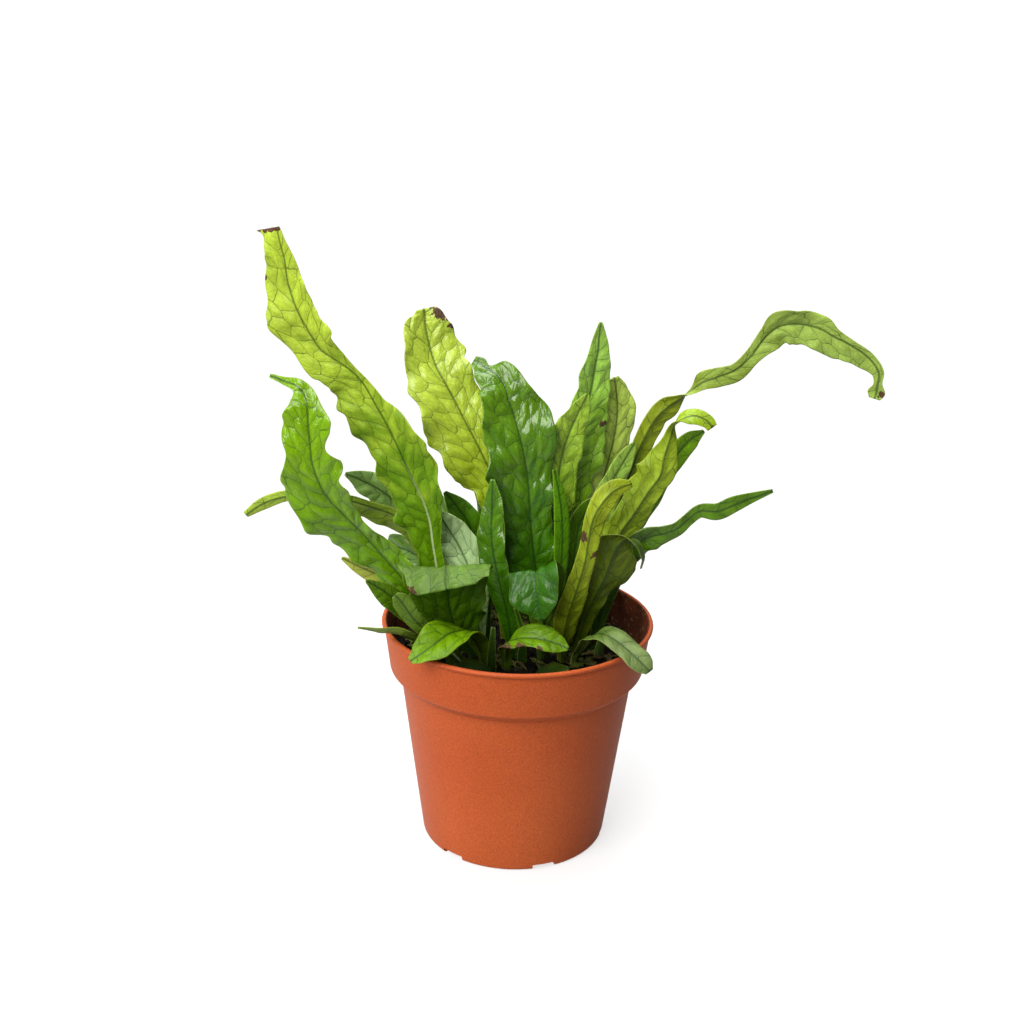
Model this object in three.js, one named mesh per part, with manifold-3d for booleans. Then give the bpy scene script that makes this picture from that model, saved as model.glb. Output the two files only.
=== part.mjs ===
// A potted fern with strap-shaped fronds in a round nursery pot. Millimetres, +Z up.
// Origin: centre of the pot's base, on the surface it stands on. Front is -Y, right is +X.
import * as THREE from "three";
import { mergeVertices } from "three/addons/utils/BufferGeometryUtils.js";
import Module from "manifold-3d";

const wasm = await Module();
wasm.setup();

// ---- driving dimensions ----
const POT_HEIGHT = 95;
const RIM_RADIUS = 55;            // outside of the bead lip
const COLLAR_TOP_RADIUS = 53.6;
const COLLAR_BOTTOM_RADIUS = 51.8;
const COLLAR_BOTTOM_Z = 76.3;
const SHOULDER_RADIUS = 47.4;     // body, just under the shoulder
const SHOULDER_Z = 71.7;
const BASE_RADIUS = 38;
const WALL = 1.2;
const BEAD_HEIGHT = 1.7;          // of the bead lip round the rim
const LIP_FLARE = 0.4;            // how far the inside flares out at the lip
const FLOOR_Z = 5;                // upper face of the pot's floor
const DISC_RADIUS = 18;           // centre of the base, which touches the surface
const RING_INNER_RADIUS = 33;     // standing ring round the base
const CHANNEL_HEIGHT = 2.6;       // how far the underside is raised between disc and ring
const NOTCHES = { count: 6, length: 12, width: 10, height: 2.5, firstDegrees: -70 };
const DRAINS = { count: 6, radius: 3.5, ring: 25.5, sides: 12, firstDegrees: -40 };
const POT_SIDES = 48;

const GAP = 0.3;                  // clearance between pieces that touch
const SOIL_Z = 80;                // soil level at the wall
const SOIL_MOUND = 2;             // how much higher the soil is in the middle
const ROOT_Z = 74;                // how deep the stalks reach
const HOLE_DEPTH_Z = ROOT_Z - GAP;
const HOLE_SIDES = 6;
const HOLE_CLEARANCE = 1.2;       // added to a stalk's half-width
const COLLAR_OF_STALK_Z = 84;     // stalks rise straight up to here
const FOOT_HALF_WIDTH = 1.9;      // of every stalk, where it stands in the soil

const BLADE_THICKNESS = 0.7;
const STALK_THICKNESS = 1.9;      // added at the foot, and gone at a quarter of the length
const RIB_DEPTH = 0.8;            // midrib, raised under the blade
const CAMBER = 0.16;              // how far each half rises, as a share of its width
const VEIN_LEAN = 0.45;           // veins lean to the tip by this share of the width
const QUILT = 0.55;               // height of the bulges between veins
const WAVE = { share: 0.12, length: 24, otherEdge: 2.2 };  // edge waves, their two sides out of step
const GROWN = [3, 6];             // half-widths between which waves and bulges come in

// Detail of a frond: columns across the blade, and rows from foot to tip.
const LONG = { columns: 6, rows: 22 };
const LARGE = { columns: 6, rows: 16 };
const MEDIUM = { columns: 4, rows: 12 };
const SMALL = { columns: 4, rows: 8 };
const SHOOT = { columns: 2, rows: 6 };

const GREENS = {
  fresh: 0x8fae2c, middle: 0x5d8a1c, dark: 0x31590f, olive: 0x7f8a35, silver: 0x7c9a66, pale: 0xa3b558,
};

// ---- fronds ----
// Each station is [x, y, z, left half-width, right half-width, turn in degrees], foot to tip.
// foot is where the stalk stands. faces is the way the upper face looks at the foot, in degrees
// round the pot from the front. turn twists the blade about its own midrib. camber stands for CAMBER.
const FRONDS = {
  tall_left: { size: LONG, green: "middle", foot: [-24, -3], faces: -15, stations: [
    [-31, -6.5, 110, 5, 4, 0], [-34, -9.5, 129, 8, 3.5, 0], [-35, -11, 138, 11.6, 5, 0],
    [-37.5, -12.5, 147.5, 12, 8.6, 0], [-41.5, -13, 156.5, 11.4, 12, 0],
    [-45.5, -13, 165.5, 11.4, 12.4, 0], [-49, -13, 173.5, 11.6, 11.6, 0],
    [-52, -13, 179.5, 13, 8, 0], [-55.5, -12, 185.5, 13.6, 5, 0], [-60.5, -11, 194, 13, 2.4, 0],
    [-66, -11, 199.5, 11.4, 2.6, 0], [-72, -10, 203, 10.4, 6, 0], [-76.5, -9, 206, 10, 9.4, 0],
    [-80, -8, 211, 11.6, 9.4, 0], [-85, -7, 220, 12.4, 8, 0], [-88.5, -5, 230, 9.4, 8.4, 0],
    [-89.6, -5, 239, 7.4, 4.6, 0], [-91, -5, 245, 6.4, 2.6, 0], [-91.8, -4.5, 249, 6.6, 1.6, 0],
    [-92, -4, 250.5, 8.4, 0.8, 0],
  ] },
  left_broad: { size: LONG, green: "dark", foot: [-30, -5], faces: -10, stations: [
    [-40, -9, 105, 5, 5, 0], [-46, -13, 116, 7, 8, 0], [-57, -14.5, 130, 9.5, 7.5, 0],
    [-61.5, -17, 136.5, 12, 5.4, 0], [-66, -19, 142, 13.4, 6, 0], [-73.5, -22, 152, 14.8, 9.6, 0],
    [-76.5, -23, 158.5, 14.6, 10.6, 0], [-78.5, -24, 166, 10.6, 11.4, 0], [-79, -24, 171.5, 9.4, 6.2, 0],
    [-79.5, -24, 180, 10.3, 10, 0], [-80, -23, 188, 8, 5.4, 0], [-81.5, -21, 192, 5.4, 4, 0],
    [-84, -20, 194.5, 2.6, 3, 0], [-89, -17, 195.5, 1.5, 1.6, 0], [-95, -13, 196.5, 0.8, 0.8, 0],
  ] },
  far_left: { size: LARGE, green: "olive", foot: [-28, 8], faces: 180, stations: [
    [-34, 8, 109, 4, 4.5, 0], [-40, 7, 127, 4, 6, 0], [-50, 4, 136.5, 2.4, 7.4, 0],
    [-61, 1, 141.5, 2, 6.8, 0], [-67, 0, 143.5, 2.2, 4.6, 0], [-83, -3, 146, 2.2, 2.2, 0],
    [-92, -4, 146, 2.6, 2.4, 0], [-101, -4, 143, 2.4, 3, 0], [-108, -4, 138, 1.4, 1.4, 0],
  ] },
  back_left_small: { size: MEDIUM, green: "fresh", foot: [-20, 14], faces: 15, stations: [
    [-27, 14, 108, 4, 4, 0], [-34, 14, 122, 6, 5.5, 0], [-50, 11, 139, 6.5, 6, 0],
    [-56, 8.5, 145, 6.5, 6, 0], [-62, 6.5, 149, 5, 5, 0], [-66, 5, 151.5, 2.8, 2.8, 0],
    [-69.5, 4, 153, 0.8, 0.8, 0],
  ] },
  left_under: { size: SMALL, green: "pale", foot: [-33, 3], faces: 0, stations: [
    [-45, -1, 101, 3.5, 3.5, 0], [-55, -5, 113, 4.5, 3.5, 0], [-63, -7, 118, 3.5, 2.5, 0],
    [-70, -8, 122, 0.8, 0.8, 0],
  ] },
  left_mid: { size: SMALL, green: "middle", foot: [-31, -12], faces: 10, stations: [
    [-38.5, -15, 97, 3.5, 3.5, 0], [-45.5, -20, 107, 4.5, 4, 0], [-51.5, -25, 115, 4.5, 4, 0],
    [-58, -29, 121, 0.8, 0.8, 0],
  ] },
  left_stub: { size: SMALL, green: "olive", foot: [-21, -24], faces: 0, stations: [
    [-33, -28, 98, 3, 3, 0], [-40, -32, 107, 3.5, 3.5, 0], [-45, -33, 115, 3.5, 3.5, 0],
    [-47, -33, 117, 1.5, 1.5, 0],
  ] },
  rim_spike_left: { size: SMALL, green: "fresh", foot: [-27, -17], faces: 150, stations: [
    [-38, -23, 94, 4, 4, 0], [-46, -29, 100, 5, 5, 0], [-53, -32, 102, 4, 4, 0],
    [-61, -34, 104, 0.8, 0.8, 0],
  ] },
  sunlit_left: { size: LARGE, green: "fresh", foot: [-5, 7], faces: 15, stations: [
    [-6, 7, 106, 4.5, 4.5, 0], [-7.5, 7.5, 130, 6.5, 6, 0], [-9.5, 8, 147, 9, 7.5, 0],
    [-12.5, 9, 154.5, 14, 8, 0], [-17.5, 10, 164.5, 15.8, 8.6, 0], [-23.5, 11.5, 175.5, 17, 9.8, 0],
    [-27, 13, 182, 15.4, 10.6, 0], [-31, 14, 189, 14.2, 12, 0], [-34.5, 16, 195, 13.2, 12.5, 0],
    [-37, 18, 202, 10.6, 12, 0], [-38.7, 19, 209.5, 8.4, 9.8, 0], [-39, 20, 214, 6, 7.6, 0],
    [-39.5, 20, 216.5, 3, 4.5, 0],
  ] },
  dark_left: { size: SMALL, green: "dark", foot: [-13, 1], faces: 0, stations: [
    [-16, 1, 118, 5, 5, 0], [-20, 2, 133, 6.5, 6.5, 0], [-25, 2, 141, 4.5, 4.5, 0],
    [-30, 2, 147, 0.8, 0.8, 0],
  ] },
  silver_left: { size: MEDIUM, green: "silver", foot: [-15, -6], faces: -10, stations: [
    [-18, -6, 112, 6.5, 6.5, 0], [-23, -5, 125, 8.5, 9, 0], [-29, -4, 135, 6, 7, 0],
    [-33, -4, 141, 0.9, 0.9, 0],
  ] },
  center_strip: { size: SMALL, green: "dark", foot: [-2, -10], faces: -20, stations: [
    [-4, -12, 100, 4, 4, 0], [-8, -12, 116, 5.5, 5.5, 0], [-11, -11, 132, 6, 6, 0],
    [-11, -9, 146, 3.6, 5, 0], [-11, -8, 156, 0.8, 0.8, 0],
  ] },
  center_big: { size: LARGE, green: "dark", foot: [8, 1], faces: 10, stations: [
    [8, 0, 107, 8, 6, 0], [6, -1, 122, 12.5, 8, 0], [4.5, -1, 134.5, 15, 8.6, 0],
    [3.5, -1, 147, 16.4, 9, 0], [2.5, 0, 155.5, 16.4, 10, 0], [1, 0, 163.5, 15, 12.4, 0],
    [-1, 1, 171.5, 14.4, 15.2, 0], [-3, 3, 178, 13, 13.4, 0], [-5.5, 4.5, 184.5, 11.6, 10.6, 0],
    [-7, 6, 189.5, 10.8, 9, 0], [-10, 8, 193.5, 9.8, 6.6, 0], [-14, 10, 195.5, 7, 1.6, 0],
    [-16.5, 11.5, 197, 4.6, 2.6, 0], [-19.5, 13, 198, 2, 2, 0],
  ] },
  short_center: { size: MEDIUM, green: "dark", foot: [10, -12], faces: 180, stations: [
    [10, -14, 102, 6, 6, 0], [9, -17, 113, 8.5, 8.5, 0], [7.5, -20.5, 122, 10, 10, 0],
    [6, -25.5, 125, 10.5, 10.5, 0], [6, -30, 120, 10, 10, 0], [7.5, -32.5, 113, 7.5, 7, 0],
    [9, -33, 108, 1.2, 1.2, 0],
  ] },
  folded_front: { size: LARGE, green: "middle", foot: [-18, -12], faces: 0, camber: -0.05, stations: [
    [-24, -15, 94, 9, 10.5, 0], [-26.5, -19, 105, 12.5, 14, 0], [-27.5, -24, 117, 15.5, 15, 0],
    [-27.5, -28.5, 125, 17, 16, 0], [-27.5, -32.5, 128.5, 17.5, 16.8, 0],
    [-27.5, -36.5, 127.5, 17, 16.8, 0], [-27.5, -39.5, 125, 15, 16, 0], [-27, -41, 122.8, 10, 12, 0],
  ] },
  right_narrow: { size: SMALL, green: "middle", foot: [14, 2], faces: 20, stations: [
    [16, -2, 106, 2.5, 2.5, 0], [17, -4, 127, 3.5, 3, 0], [16, -4, 144, 3, 3, 0],
    [13, -3, 159, 0.8, 0.8, 0],
  ] },
  center_right: { size: MEDIUM, green: "middle", foot: [10, 9], faces: 10, stations: [
    [12, 7, 121, 5, 5, 0], [14, 6, 142, 7, 7, 0], [16, 5, 162, 7.5, 7.5, 0],
    [19, 4, 173, 6.5, 6, 0], [22, 3, 181, 4.5, 4.5, 0], [25, 2, 188, 0.8, 0.8, 0],
  ] },
  pointed_right: { size: LARGE, green: "fresh", foot: [15, 13], faces: 20, stations: [
    [16.5, 15, 120, 7.5, 7.5, 0], [18, 16, 144, 10, 11, 0], [23, 16, 165, 9.5, 11.4, 0],
    [25.5, 16, 177.5, 8.6, 8.8, 0], [27.5, 15, 189, 5.8, 7.2, 0], [28, 14, 194.5, 6.6, 6.4, 0],
    [29, 13, 202, 4.2, 5, 0], [29.2, 11.5, 209, 2.4, 3, 0], [29.5, 10, 214.5, 0.8, 0.8, 0],
  ] },
  light_right: { size: MEDIUM, green: "pale", foot: [21, 20], faces: 30, stations: [
    [29, 25, 125, 7, 7, 0], [35, 26, 150, 8, 8, 0], [38, 25, 166, 7.5, 7.8, 0],
    [38.5, 24, 177, 6.5, 7.4, 0], [37.5, 23, 185, 4.4, 5, 0], [36.5, 22, 190, 2, 2, 0],
  ] },
  pale_edged: { size: SMALL, green: "dark", foot: [19, 6], faces: 0, stations: [
    [22, 4, 118, 4, 3.5, 0], [24, 4, 134, 4.5, 4, 0], [28, 3, 142, 3.5, 3, 0],
    [33, 2, 146, 0.8, 0.8, 0],
  ] },
  grey_right: { size: MEDIUM, green: "silver", foot: [24, 9], faces: 15, stations: [
    [30, 9, 129, 5.5, 6, 0], [34, 10, 143, 5.5, 5.5, 0], [38, 10, 153, 4.5, 5, 0],
    [42, 10, 161, 3.5, 3.5, 0], [45, 10, 167, 0.8, 0.8, 0],
  ] },
  long_right: { size: LONG, green: "fresh", foot: [30, 14], faces: 180, stations: [
    [37, 15, 124, 4, 4, 0], [44, 16, 152, 4.6, 3.8, 0], [48, 15, 165, 4.8, 3.6, 0],
    [52.5, 13, 175.5, 5, 4, 0], [57.5, 11, 182, 4.6, 4.2, 0], [62, 9, 186.5, 3, 2.6, 45],
    [65, 8, 188.5, 2.2, 2.2, 90], [69.5, 5, 193, 4, 3, 150], [75, 4, 195.5, 4, 4.2, 175],
    [81.5, 2, 199, 2.8, 4.8, 180], [87, 1, 205, 2.8, 4, 180], [92, 0, 213, 3.4, 6.6, 180],
    [97, -1, 217, 6.4, 8, 180], [104, -2, 218, 6.6, 7.8, 180], [111.5, -3, 216.5, 5.6, 7.8, 180],
    [116.5, -4, 214, 3.4, 8.2, 180], [123, -5, 211, 2.2, 7, 180], [130, -5, 206.5, 2.2, 5.2, 180],
    [134.5, -5, 201, 2, 3, 180], [135, -4, 196, 1.7, 1.7, 185], [135, -3, 192.5, 3.4, 3.4, 190],
    [134.5, -3, 190, 2.2, 2.2, 195],
  ] },
  curled_right: { size: LONG, green: "olive", foot: [27, 3], faces: 170, stations: [
    [33, -1, 111, 4.5, 4.5, 0], [37, -3, 128, 7, 6.5, 0], [45.5, -6, 144, 5.4, 7.2, 0],
    [50, -7, 152.5, 4.8, 8.8, 0], [54, -8, 159.5, 5.2, 10.4, 0], [55, -8, 166.5, 5.2, 6, 0],
    [56.5, -7, 173, 3.4, 3.2, 25], [58, -5, 178.5, 3, 3, 75], [62, -4, 181, 4, 4.2, 130],
    [66.5, -4, 182, 3.4, 4, 155], [71, -5, 180.3, 2.8, 3, 165], [73, -6, 178, 2.2, 2.2, 170],
  ] },
  dark_right: { size: SMALL, green: "dark", foot: [31, 8], faces: 10, stations: [
    [39, 6, 118, 3.5, 3.5, 0], [50, 6, 142, 4.5, 4.5, 0], [59, 5, 160, 4.5, 4.5, 0],
    [66, 4, 170, 4, 4, 0], [71, 3, 174, 0.8, 0.8, 0],
  ] },
  low_right: { size: LONG, green: "middle", foot: [31, -2], faces: 0, stations: [
    [38, -6, 117, 4.5, 4.5, 0], [46, -9, 130.5, 4.8, 5.2, 0], [51, -10.5, 134.5, 4.8, 5.2, 0],
    [56, -12, 136.5, 3.8, 4.2, 0], [61, -13, 139, 3, 3.2, 0], [65, -13, 143, 2.6, 2.8, 0],
    [69.5, -13, 146.5, 3, 3, 0], [76, -13, 146.5, 3.6, 3.8, 0], [82, -13, 149, 4, 3.2, 0],
    [89.5, -12, 152, 2.4, 2, 0], [97, -12, 155, 0.8, 0.8, 0],
  ] },
  yellow_curl: { size: MEDIUM, green: "fresh", foot: [18, -12], faces: 180, stations: [
    [19, -17, 100, 5, 5, 0], [22, -22, 115, 4.6, 4.6, 0], [25, -25, 129, 3.8, 3.8, 0],
    [26, -26, 138, 4.4, 3, 0], [27.5, -26, 147, 5, 3.4, 0], [31, -25, 153.5, 4.8, 4.4, 0],
    [35.5, -24, 158, 3.4, 4.2, 0], [41.5, -22, 160, 1.4, 1.4, 0],
  ] },
  olive_fold: { size: MEDIUM, green: "olive", foot: [24, -9], faces: 180, stations: [
    [26, -12, 100, 4.5, 4, 0], [30.5, -16, 113, 5.5, 6.5, 0], [33.5, -18, 121, 9.5, 9.5, 0],
    [35.5, -19, 128, 10.5, 10, 0], [37.5, -20, 134, 7.5, 8, 0], [40.5, -21.5, 138, 4, 4, 30],
    [45, -23.5, 136.5, 2.8, 2.8, 60], [47.5, -24, 131, 2.6, 2.6, 60], [47, -24, 126.5, 1, 1, 60],
  ] },
  front_left_low: { size: MEDIUM, green: "fresh", foot: [-13, -19], faces: 160, stations: [
    [-16, -24, 95, 5, 5, 0], [-20, -30, 101.5, 7.5, 7.5, -15], [-25.5, -36.5, 103.5, 8.6, 8.2, -30],
    [-31, -42, 101.5, 8, 7.5, -30], [-36, -46, 99, 5.5, 5, -30], [-40, -48.5, 97, 1.6, 1.6, -30],
  ] },
  front_burnt: { size: MEDIUM, green: "olive", foot: [-4, -20], faces: 170, stations: [
    [-4.5, -25.5, 92, 3, 3, 25], [-3.5, -30, 97.5, 4.5, 4.5, 55], [2, -33, 100.5, 6, 6, 75],
    [9.5, -35, 101, 6.6, 6.4, 80], [15.5, -36, 99.5, 4.6, 4.6, 80], [19.5, -37, 98, 0.8, 0.8, 80],
  ] },
  low_shoot_left: { size: SHOOT, green: "dark", foot: [-9, -32], faces: 90, stations: [
    [-13, -34, 88, 2.5, 2.5, 0], [-19, -36, 90, 3.5, 3.5, 0], [-25, -36, 88, 0.8, 0.8, 0],
  ] },
  low_shoot_right: { size: SHOOT, green: "olive", foot: [7, -31], faces: 250, stations: [
    [10, -35, 88, 2.5, 2.5, 0], [14, -37, 90, 3.5, 3.5, 0], [20, -37, 90, 0.8, 0.8, 0],
  ] },
  rim_leaf_right: { size: MEDIUM, green: "pale", foot: [23, -15], faces: 210, stations: [
    [27, -21.5, 93, 4, 4, 0], [29.5, -26.5, 99.5, 5, 5, 12], [33, -31, 102, 4.8, 4.8, 22],
    [38, -35.5, 101, 4.8, 4.8, 28], [43.5, -40, 98, 5, 5, 28], [48, -43.5, 94.8, 4.2, 4.2, 28],
    [50, -45, 93, 1.8, 1.8, 28],
  ] },
  tiny_right: { size: SHOOT, green: "dark", foot: [33, -9], faces: 180, stations: [
    [35, -10, 91, 2, 2, 0], [41, -11, 93, 2.4, 2.4, 0], [45, -12, 92, 0.8, 0.8, 0],
  ] },
  shoot_center: { size: SHOOT, green: "middle", foot: [2, -15], faces: 0, stations: [
    [2, -16, 95, 1.3, 1.3, 0], [-1, -17, 106, 0.8, 0.8, 0],
  ] },
  shoot_front: { size: SHOOT, green: "olive", foot: [-10, -26], faces: 0, stations: [
    [-9.8, -27, 95, 1.4, 1.4, 0], [-9.4, -27.6, 102, 0.8, 0.8, 0],
  ] },
  back_left: { size: LARGE, green: "middle", foot: [-16, 20], faces: -20, stations: [
    [-26, 31, 106, 6, 6, 0], [-36, 44, 122, 9, 9, 0], [-44, 58, 127, 9, 9, 0],
    [-50, 74, 120, 6, 6, 0], [-53, 84, 110, 0.9, 0.9, 0],
  ] },
  back_center: { size: LARGE, green: "dark", foot: [-4, 24], faces: 0, stations: [
    [-8, 34, 120, 7, 7, 0], [-12, 46, 150, 11, 11, 0], [-14, 60, 163, 11, 11, 0],
    [-14, 74, 160, 8, 8, 0], [-13, 88, 146, 0.9, 0.9, 0],
  ] },
  back_right: { size: LARGE, green: "middle", foot: [10, 24], faces: 10, stations: [
    [14, 34, 115, 6.5, 6.5, 0], [20, 46, 142, 10, 10, 0], [26, 60, 154, 10, 10, 0],
    [30, 74, 150, 7, 7, 0], [32, 86, 138, 0.9, 0.9, 0],
  ] },
  back_right_low: { size: MEDIUM, green: "fresh", foot: [24, 27], faces: 30, stations: [
    [30, 35, 106, 5, 5, 0], [38, 46, 124, 8, 8, 0], [44, 60, 130, 7, 7, 0],
    [49, 76, 122, 0.9, 0.9, 0],
  ] },
  back_center_low: { size: MEDIUM, green: "fresh", foot: [0, 31], faces: 0, stations: [
    [2, 42, 106, 6, 6, 0], [4, 56, 120, 9, 9, 0], [5, 70, 120, 8, 8, 0],
    [5, 84, 108, 0.9, 0.9, 0],
  ] },
  back_left_low: { size: MEDIUM, green: "dark", foot: [-25, 20], faces: -30, stations: [
    [-33, 27, 98, 5, 5, 0], [-43, 36, 106, 7, 7, 0], [-53, 45, 107, 6, 6, 0],
    [-61, 54, 99, 0.9, 0.9, 0],
  ] },
  back_right_rim: { size: SMALL, green: "pale", foot: [31, 21], faces: 45, stations: [
    [38, 28, 97, 4, 4, 0], [44, 38, 103, 5.5, 5.5, 0], [48, 52, 99, 0.9, 0.9, 0],
  ] },
  back_left_rim: { size: SMALL, green: "olive", foot: [-17, 29], faces: -10, stations: [
    [-23, 38, 98, 4, 4, 0], [-27, 50, 104, 5.5, 5.5, 0], [-29, 64, 97, 0.9, 0.9, 0],
  ] },
};

// ---- solids ----
function asManifold(geometry) {
  const bare = geometry.clone();
  bare.deleteAttribute("normal");
  bare.deleteAttribute("uv");
  const merged = mergeVertices(bare, 1e-4);
  const vertProperties = new Float32Array(merged.attributes.position.array);
  const triVerts = new Uint32Array(merged.index.array);
  return new wasm.Manifold(new wasm.Mesh({ numProp: 3, vertProperties, triVerts }));
}

function asGeometry(manifold) {
  const mesh = manifold.getMesh();
  const geometry = new THREE.BufferGeometry();
  geometry.setAttribute("position", new THREE.BufferAttribute(mesh.vertProperties, 3));
  geometry.setIndex(new THREE.BufferAttribute(mesh.triVerts, 1));
  return geometry;
}

// Turns [radius, z] pairs about the axis. They run from the axis at the bottom, round the outside.
function turned(profile, sides) {
  const points = profile.map(([radius, z]) => new THREE.Vector2(radius, z));
  const geometry = new THREE.LatheGeometry(points, sides);
  geometry.rotateX(Math.PI / 2);
  return geometry;
}

function bodyRadius(z) {
  return BASE_RADIUS + (SHOULDER_RADIUS - BASE_RADIUS) * z / SHOULDER_Z;
}

function innerRadius(z) {
  if (z <= SHOULDER_Z) return bodyRadius(z) - WALL;
  if (z <= COLLAR_BOTTOM_Z) {
    const share = (z - SHOULDER_Z) / (COLLAR_BOTTOM_Z - SHOULDER_Z);
    return SHOULDER_RADIUS - WALL + share * (COLLAR_BOTTOM_RADIUS - SHOULDER_RADIUS);
  }
  const share = (z - COLLAR_BOTTOM_Z) / (POT_HEIGHT - COLLAR_BOTTOM_Z);
  return COLLAR_BOTTOM_RADIUS - WALL + share * (COLLAR_TOP_RADIUS - COLLAR_BOTTOM_RADIUS);
}

// ---- pot ----
function potGeometry() {
  const edge = 0.8;               // size of the small bevels
  const lipRadius = COLLAR_TOP_RADIUS - WALL + LIP_FLARE;
  const lipFoot = POT_HEIGHT - 4;
  const profile = [
    [0, 0], [DISC_RADIUS - edge, 0], [DISC_RADIUS, edge], [DISC_RADIUS + 1, CHANNEL_HEIGHT],
    [RING_INNER_RADIUS - 1, CHANNEL_HEIGHT], [RING_INNER_RADIUS, edge], [RING_INNER_RADIUS + edge, 0],
    [BASE_RADIUS - 2 * edge, 0], [BASE_RADIUS, 2 * edge], [SHOULDER_RADIUS, SHOULDER_Z],
    [COLLAR_BOTTOM_RADIUS - edge, COLLAR_BOTTOM_Z - edge], [COLLAR_BOTTOM_RADIUS, COLLAR_BOTTOM_Z],
    [COLLAR_TOP_RADIUS, POT_HEIGHT - 1.4 * BEAD_HEIGHT], [RIM_RADIUS, POT_HEIGHT - BEAD_HEIGHT],
    [RIM_RADIUS, POT_HEIGHT - BEAD_HEIGHT / 2], [RIM_RADIUS - edge, POT_HEIGHT],
    [lipRadius + edge, POT_HEIGHT], [lipRadius, POT_HEIGHT - edge], [innerRadius(lipFoot), lipFoot],
    [COLLAR_BOTTOM_RADIUS - WALL, COLLAR_BOTTOM_Z],
    [SHOULDER_RADIUS - WALL, SHOULDER_Z], [bodyRadius(FLOOR_Z) - WALL, FLOOR_Z], [0, FLOOR_Z],
  ];
  let pot = asManifold(turned(profile, POT_SIDES));
  for (let i = 0; i < NOTCHES.count; i += 1) {
    const notch = new THREE.BoxGeometry(NOTCHES.length, NOTCHES.width, 2 * NOTCHES.height);
    notch.translate(BASE_RADIUS - 1, 0, 0);
    notch.rotateZ(THREE.MathUtils.degToRad(NOTCHES.firstDegrees + i * 360 / NOTCHES.count));
    pot = pot.subtract(asManifold(notch));
  }
  for (let i = 0; i < DRAINS.count; i += 1) {
    const angle = THREE.MathUtils.degToRad(DRAINS.firstDegrees + i * 360 / DRAINS.count);
    const hole = new THREE.CylinderGeometry(DRAINS.radius, DRAINS.radius, 3 * FLOOR_Z, DRAINS.sides);
    hole.rotateX(Math.PI / 2);
    hole.translate(DRAINS.ring * Math.cos(angle), DRAINS.ring * Math.sin(angle), FLOOR_Z);
    pot = pot.subtract(asManifold(hole));
  }
  return asGeometry(pot);
}

// ---- soil ----
function soilTop(x, y) {
  const reach = Math.hypot(x, y) / innerRadius(SOIL_Z);
  const lumps = 0.7 * Math.sin(0.31 * x + 0.9) * Math.cos(0.27 * y) + 0.4 * Math.sin(0.63 * y + 0.4 * x);
  return SOIL_Z + SOIL_MOUND * (1 - reach * reach) + lumps;
}

function soilGeometry() {
  const rings = 5;
  const profile = [[0, FLOOR_Z + GAP], [bodyRadius(FLOOR_Z) - WALL - 2 * GAP, FLOOR_Z + GAP],
    [SHOULDER_RADIUS - WALL - GAP, SHOULDER_Z], [innerRadius(COLLAR_BOTTOM_Z) - GAP, COLLAR_BOTTOM_Z + GAP],
    [innerRadius(SOIL_Z) - GAP, SOIL_Z]];
  for (let i = rings - 1; i >= 0; i -= 1) {
    profile.push([(innerRadius(SOIL_Z) - GAP) * i / rings, SOIL_Z + 1]);
  }
  const geometry = turned(profile, POT_SIDES / 2);
  const position = geometry.attributes.position;
  for (let i = 0; i < position.count; i += 1) {
    if (position.getZ(i) < SOIL_Z - 1e-3) continue;
    position.setZ(i, soilTop(position.getX(i), position.getY(i)));
  }
  let soil = asManifold(geometry);
  for (const { foot } of Object.values(FRONDS)) {
    const radius = FOOT_HALF_WIDTH + HOLE_CLEARANCE;
    const depth = 2 * (COLLAR_OF_STALK_Z - HOLE_DEPTH_Z);
    const hole = new THREE.CylinderGeometry(radius, radius, depth, HOLE_SIDES);
    hole.rotateX(Math.PI / 2);
    hole.translate(foot[0], foot[1], HOLE_DEPTH_Z + depth / 2);
    soil = soil.subtract(asManifold(hole));
  }
  return asGeometry(soil);
}

// ---- one frond ----
const SPINE_SAMPLES = 160;

// Reads a smooth curve through the stations at a distance along them, all six values alike.
function stationAt(stations, lengths, distance) {
  let k = 0;
  while (k < stations.length - 2 && distance > lengths[k + 1]) k += 1;
  const span = lengths[k + 1] - lengths[k];
  const u = (distance - lengths[k]) / span;
  const slope = (i, c) => {
    const before = Math.max(i - 1, 0);
    const after = Math.min(i + 1, stations.length - 1);
    return (stations[after][c] - stations[before][c]) / (lengths[after] - lengths[before]);
  };
  return stations[k].map((_, c) => {
    const a = stations[k][c];
    const b = stations[k + 1][c];
    const h = u * u * (3 - 2 * u);
    const ease = u * (1 - u);
    return a + h * (b - a) + span * ease * ((1 - u) * slope(k, c) - u * slope(k + 1, c));
  });
}

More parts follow.
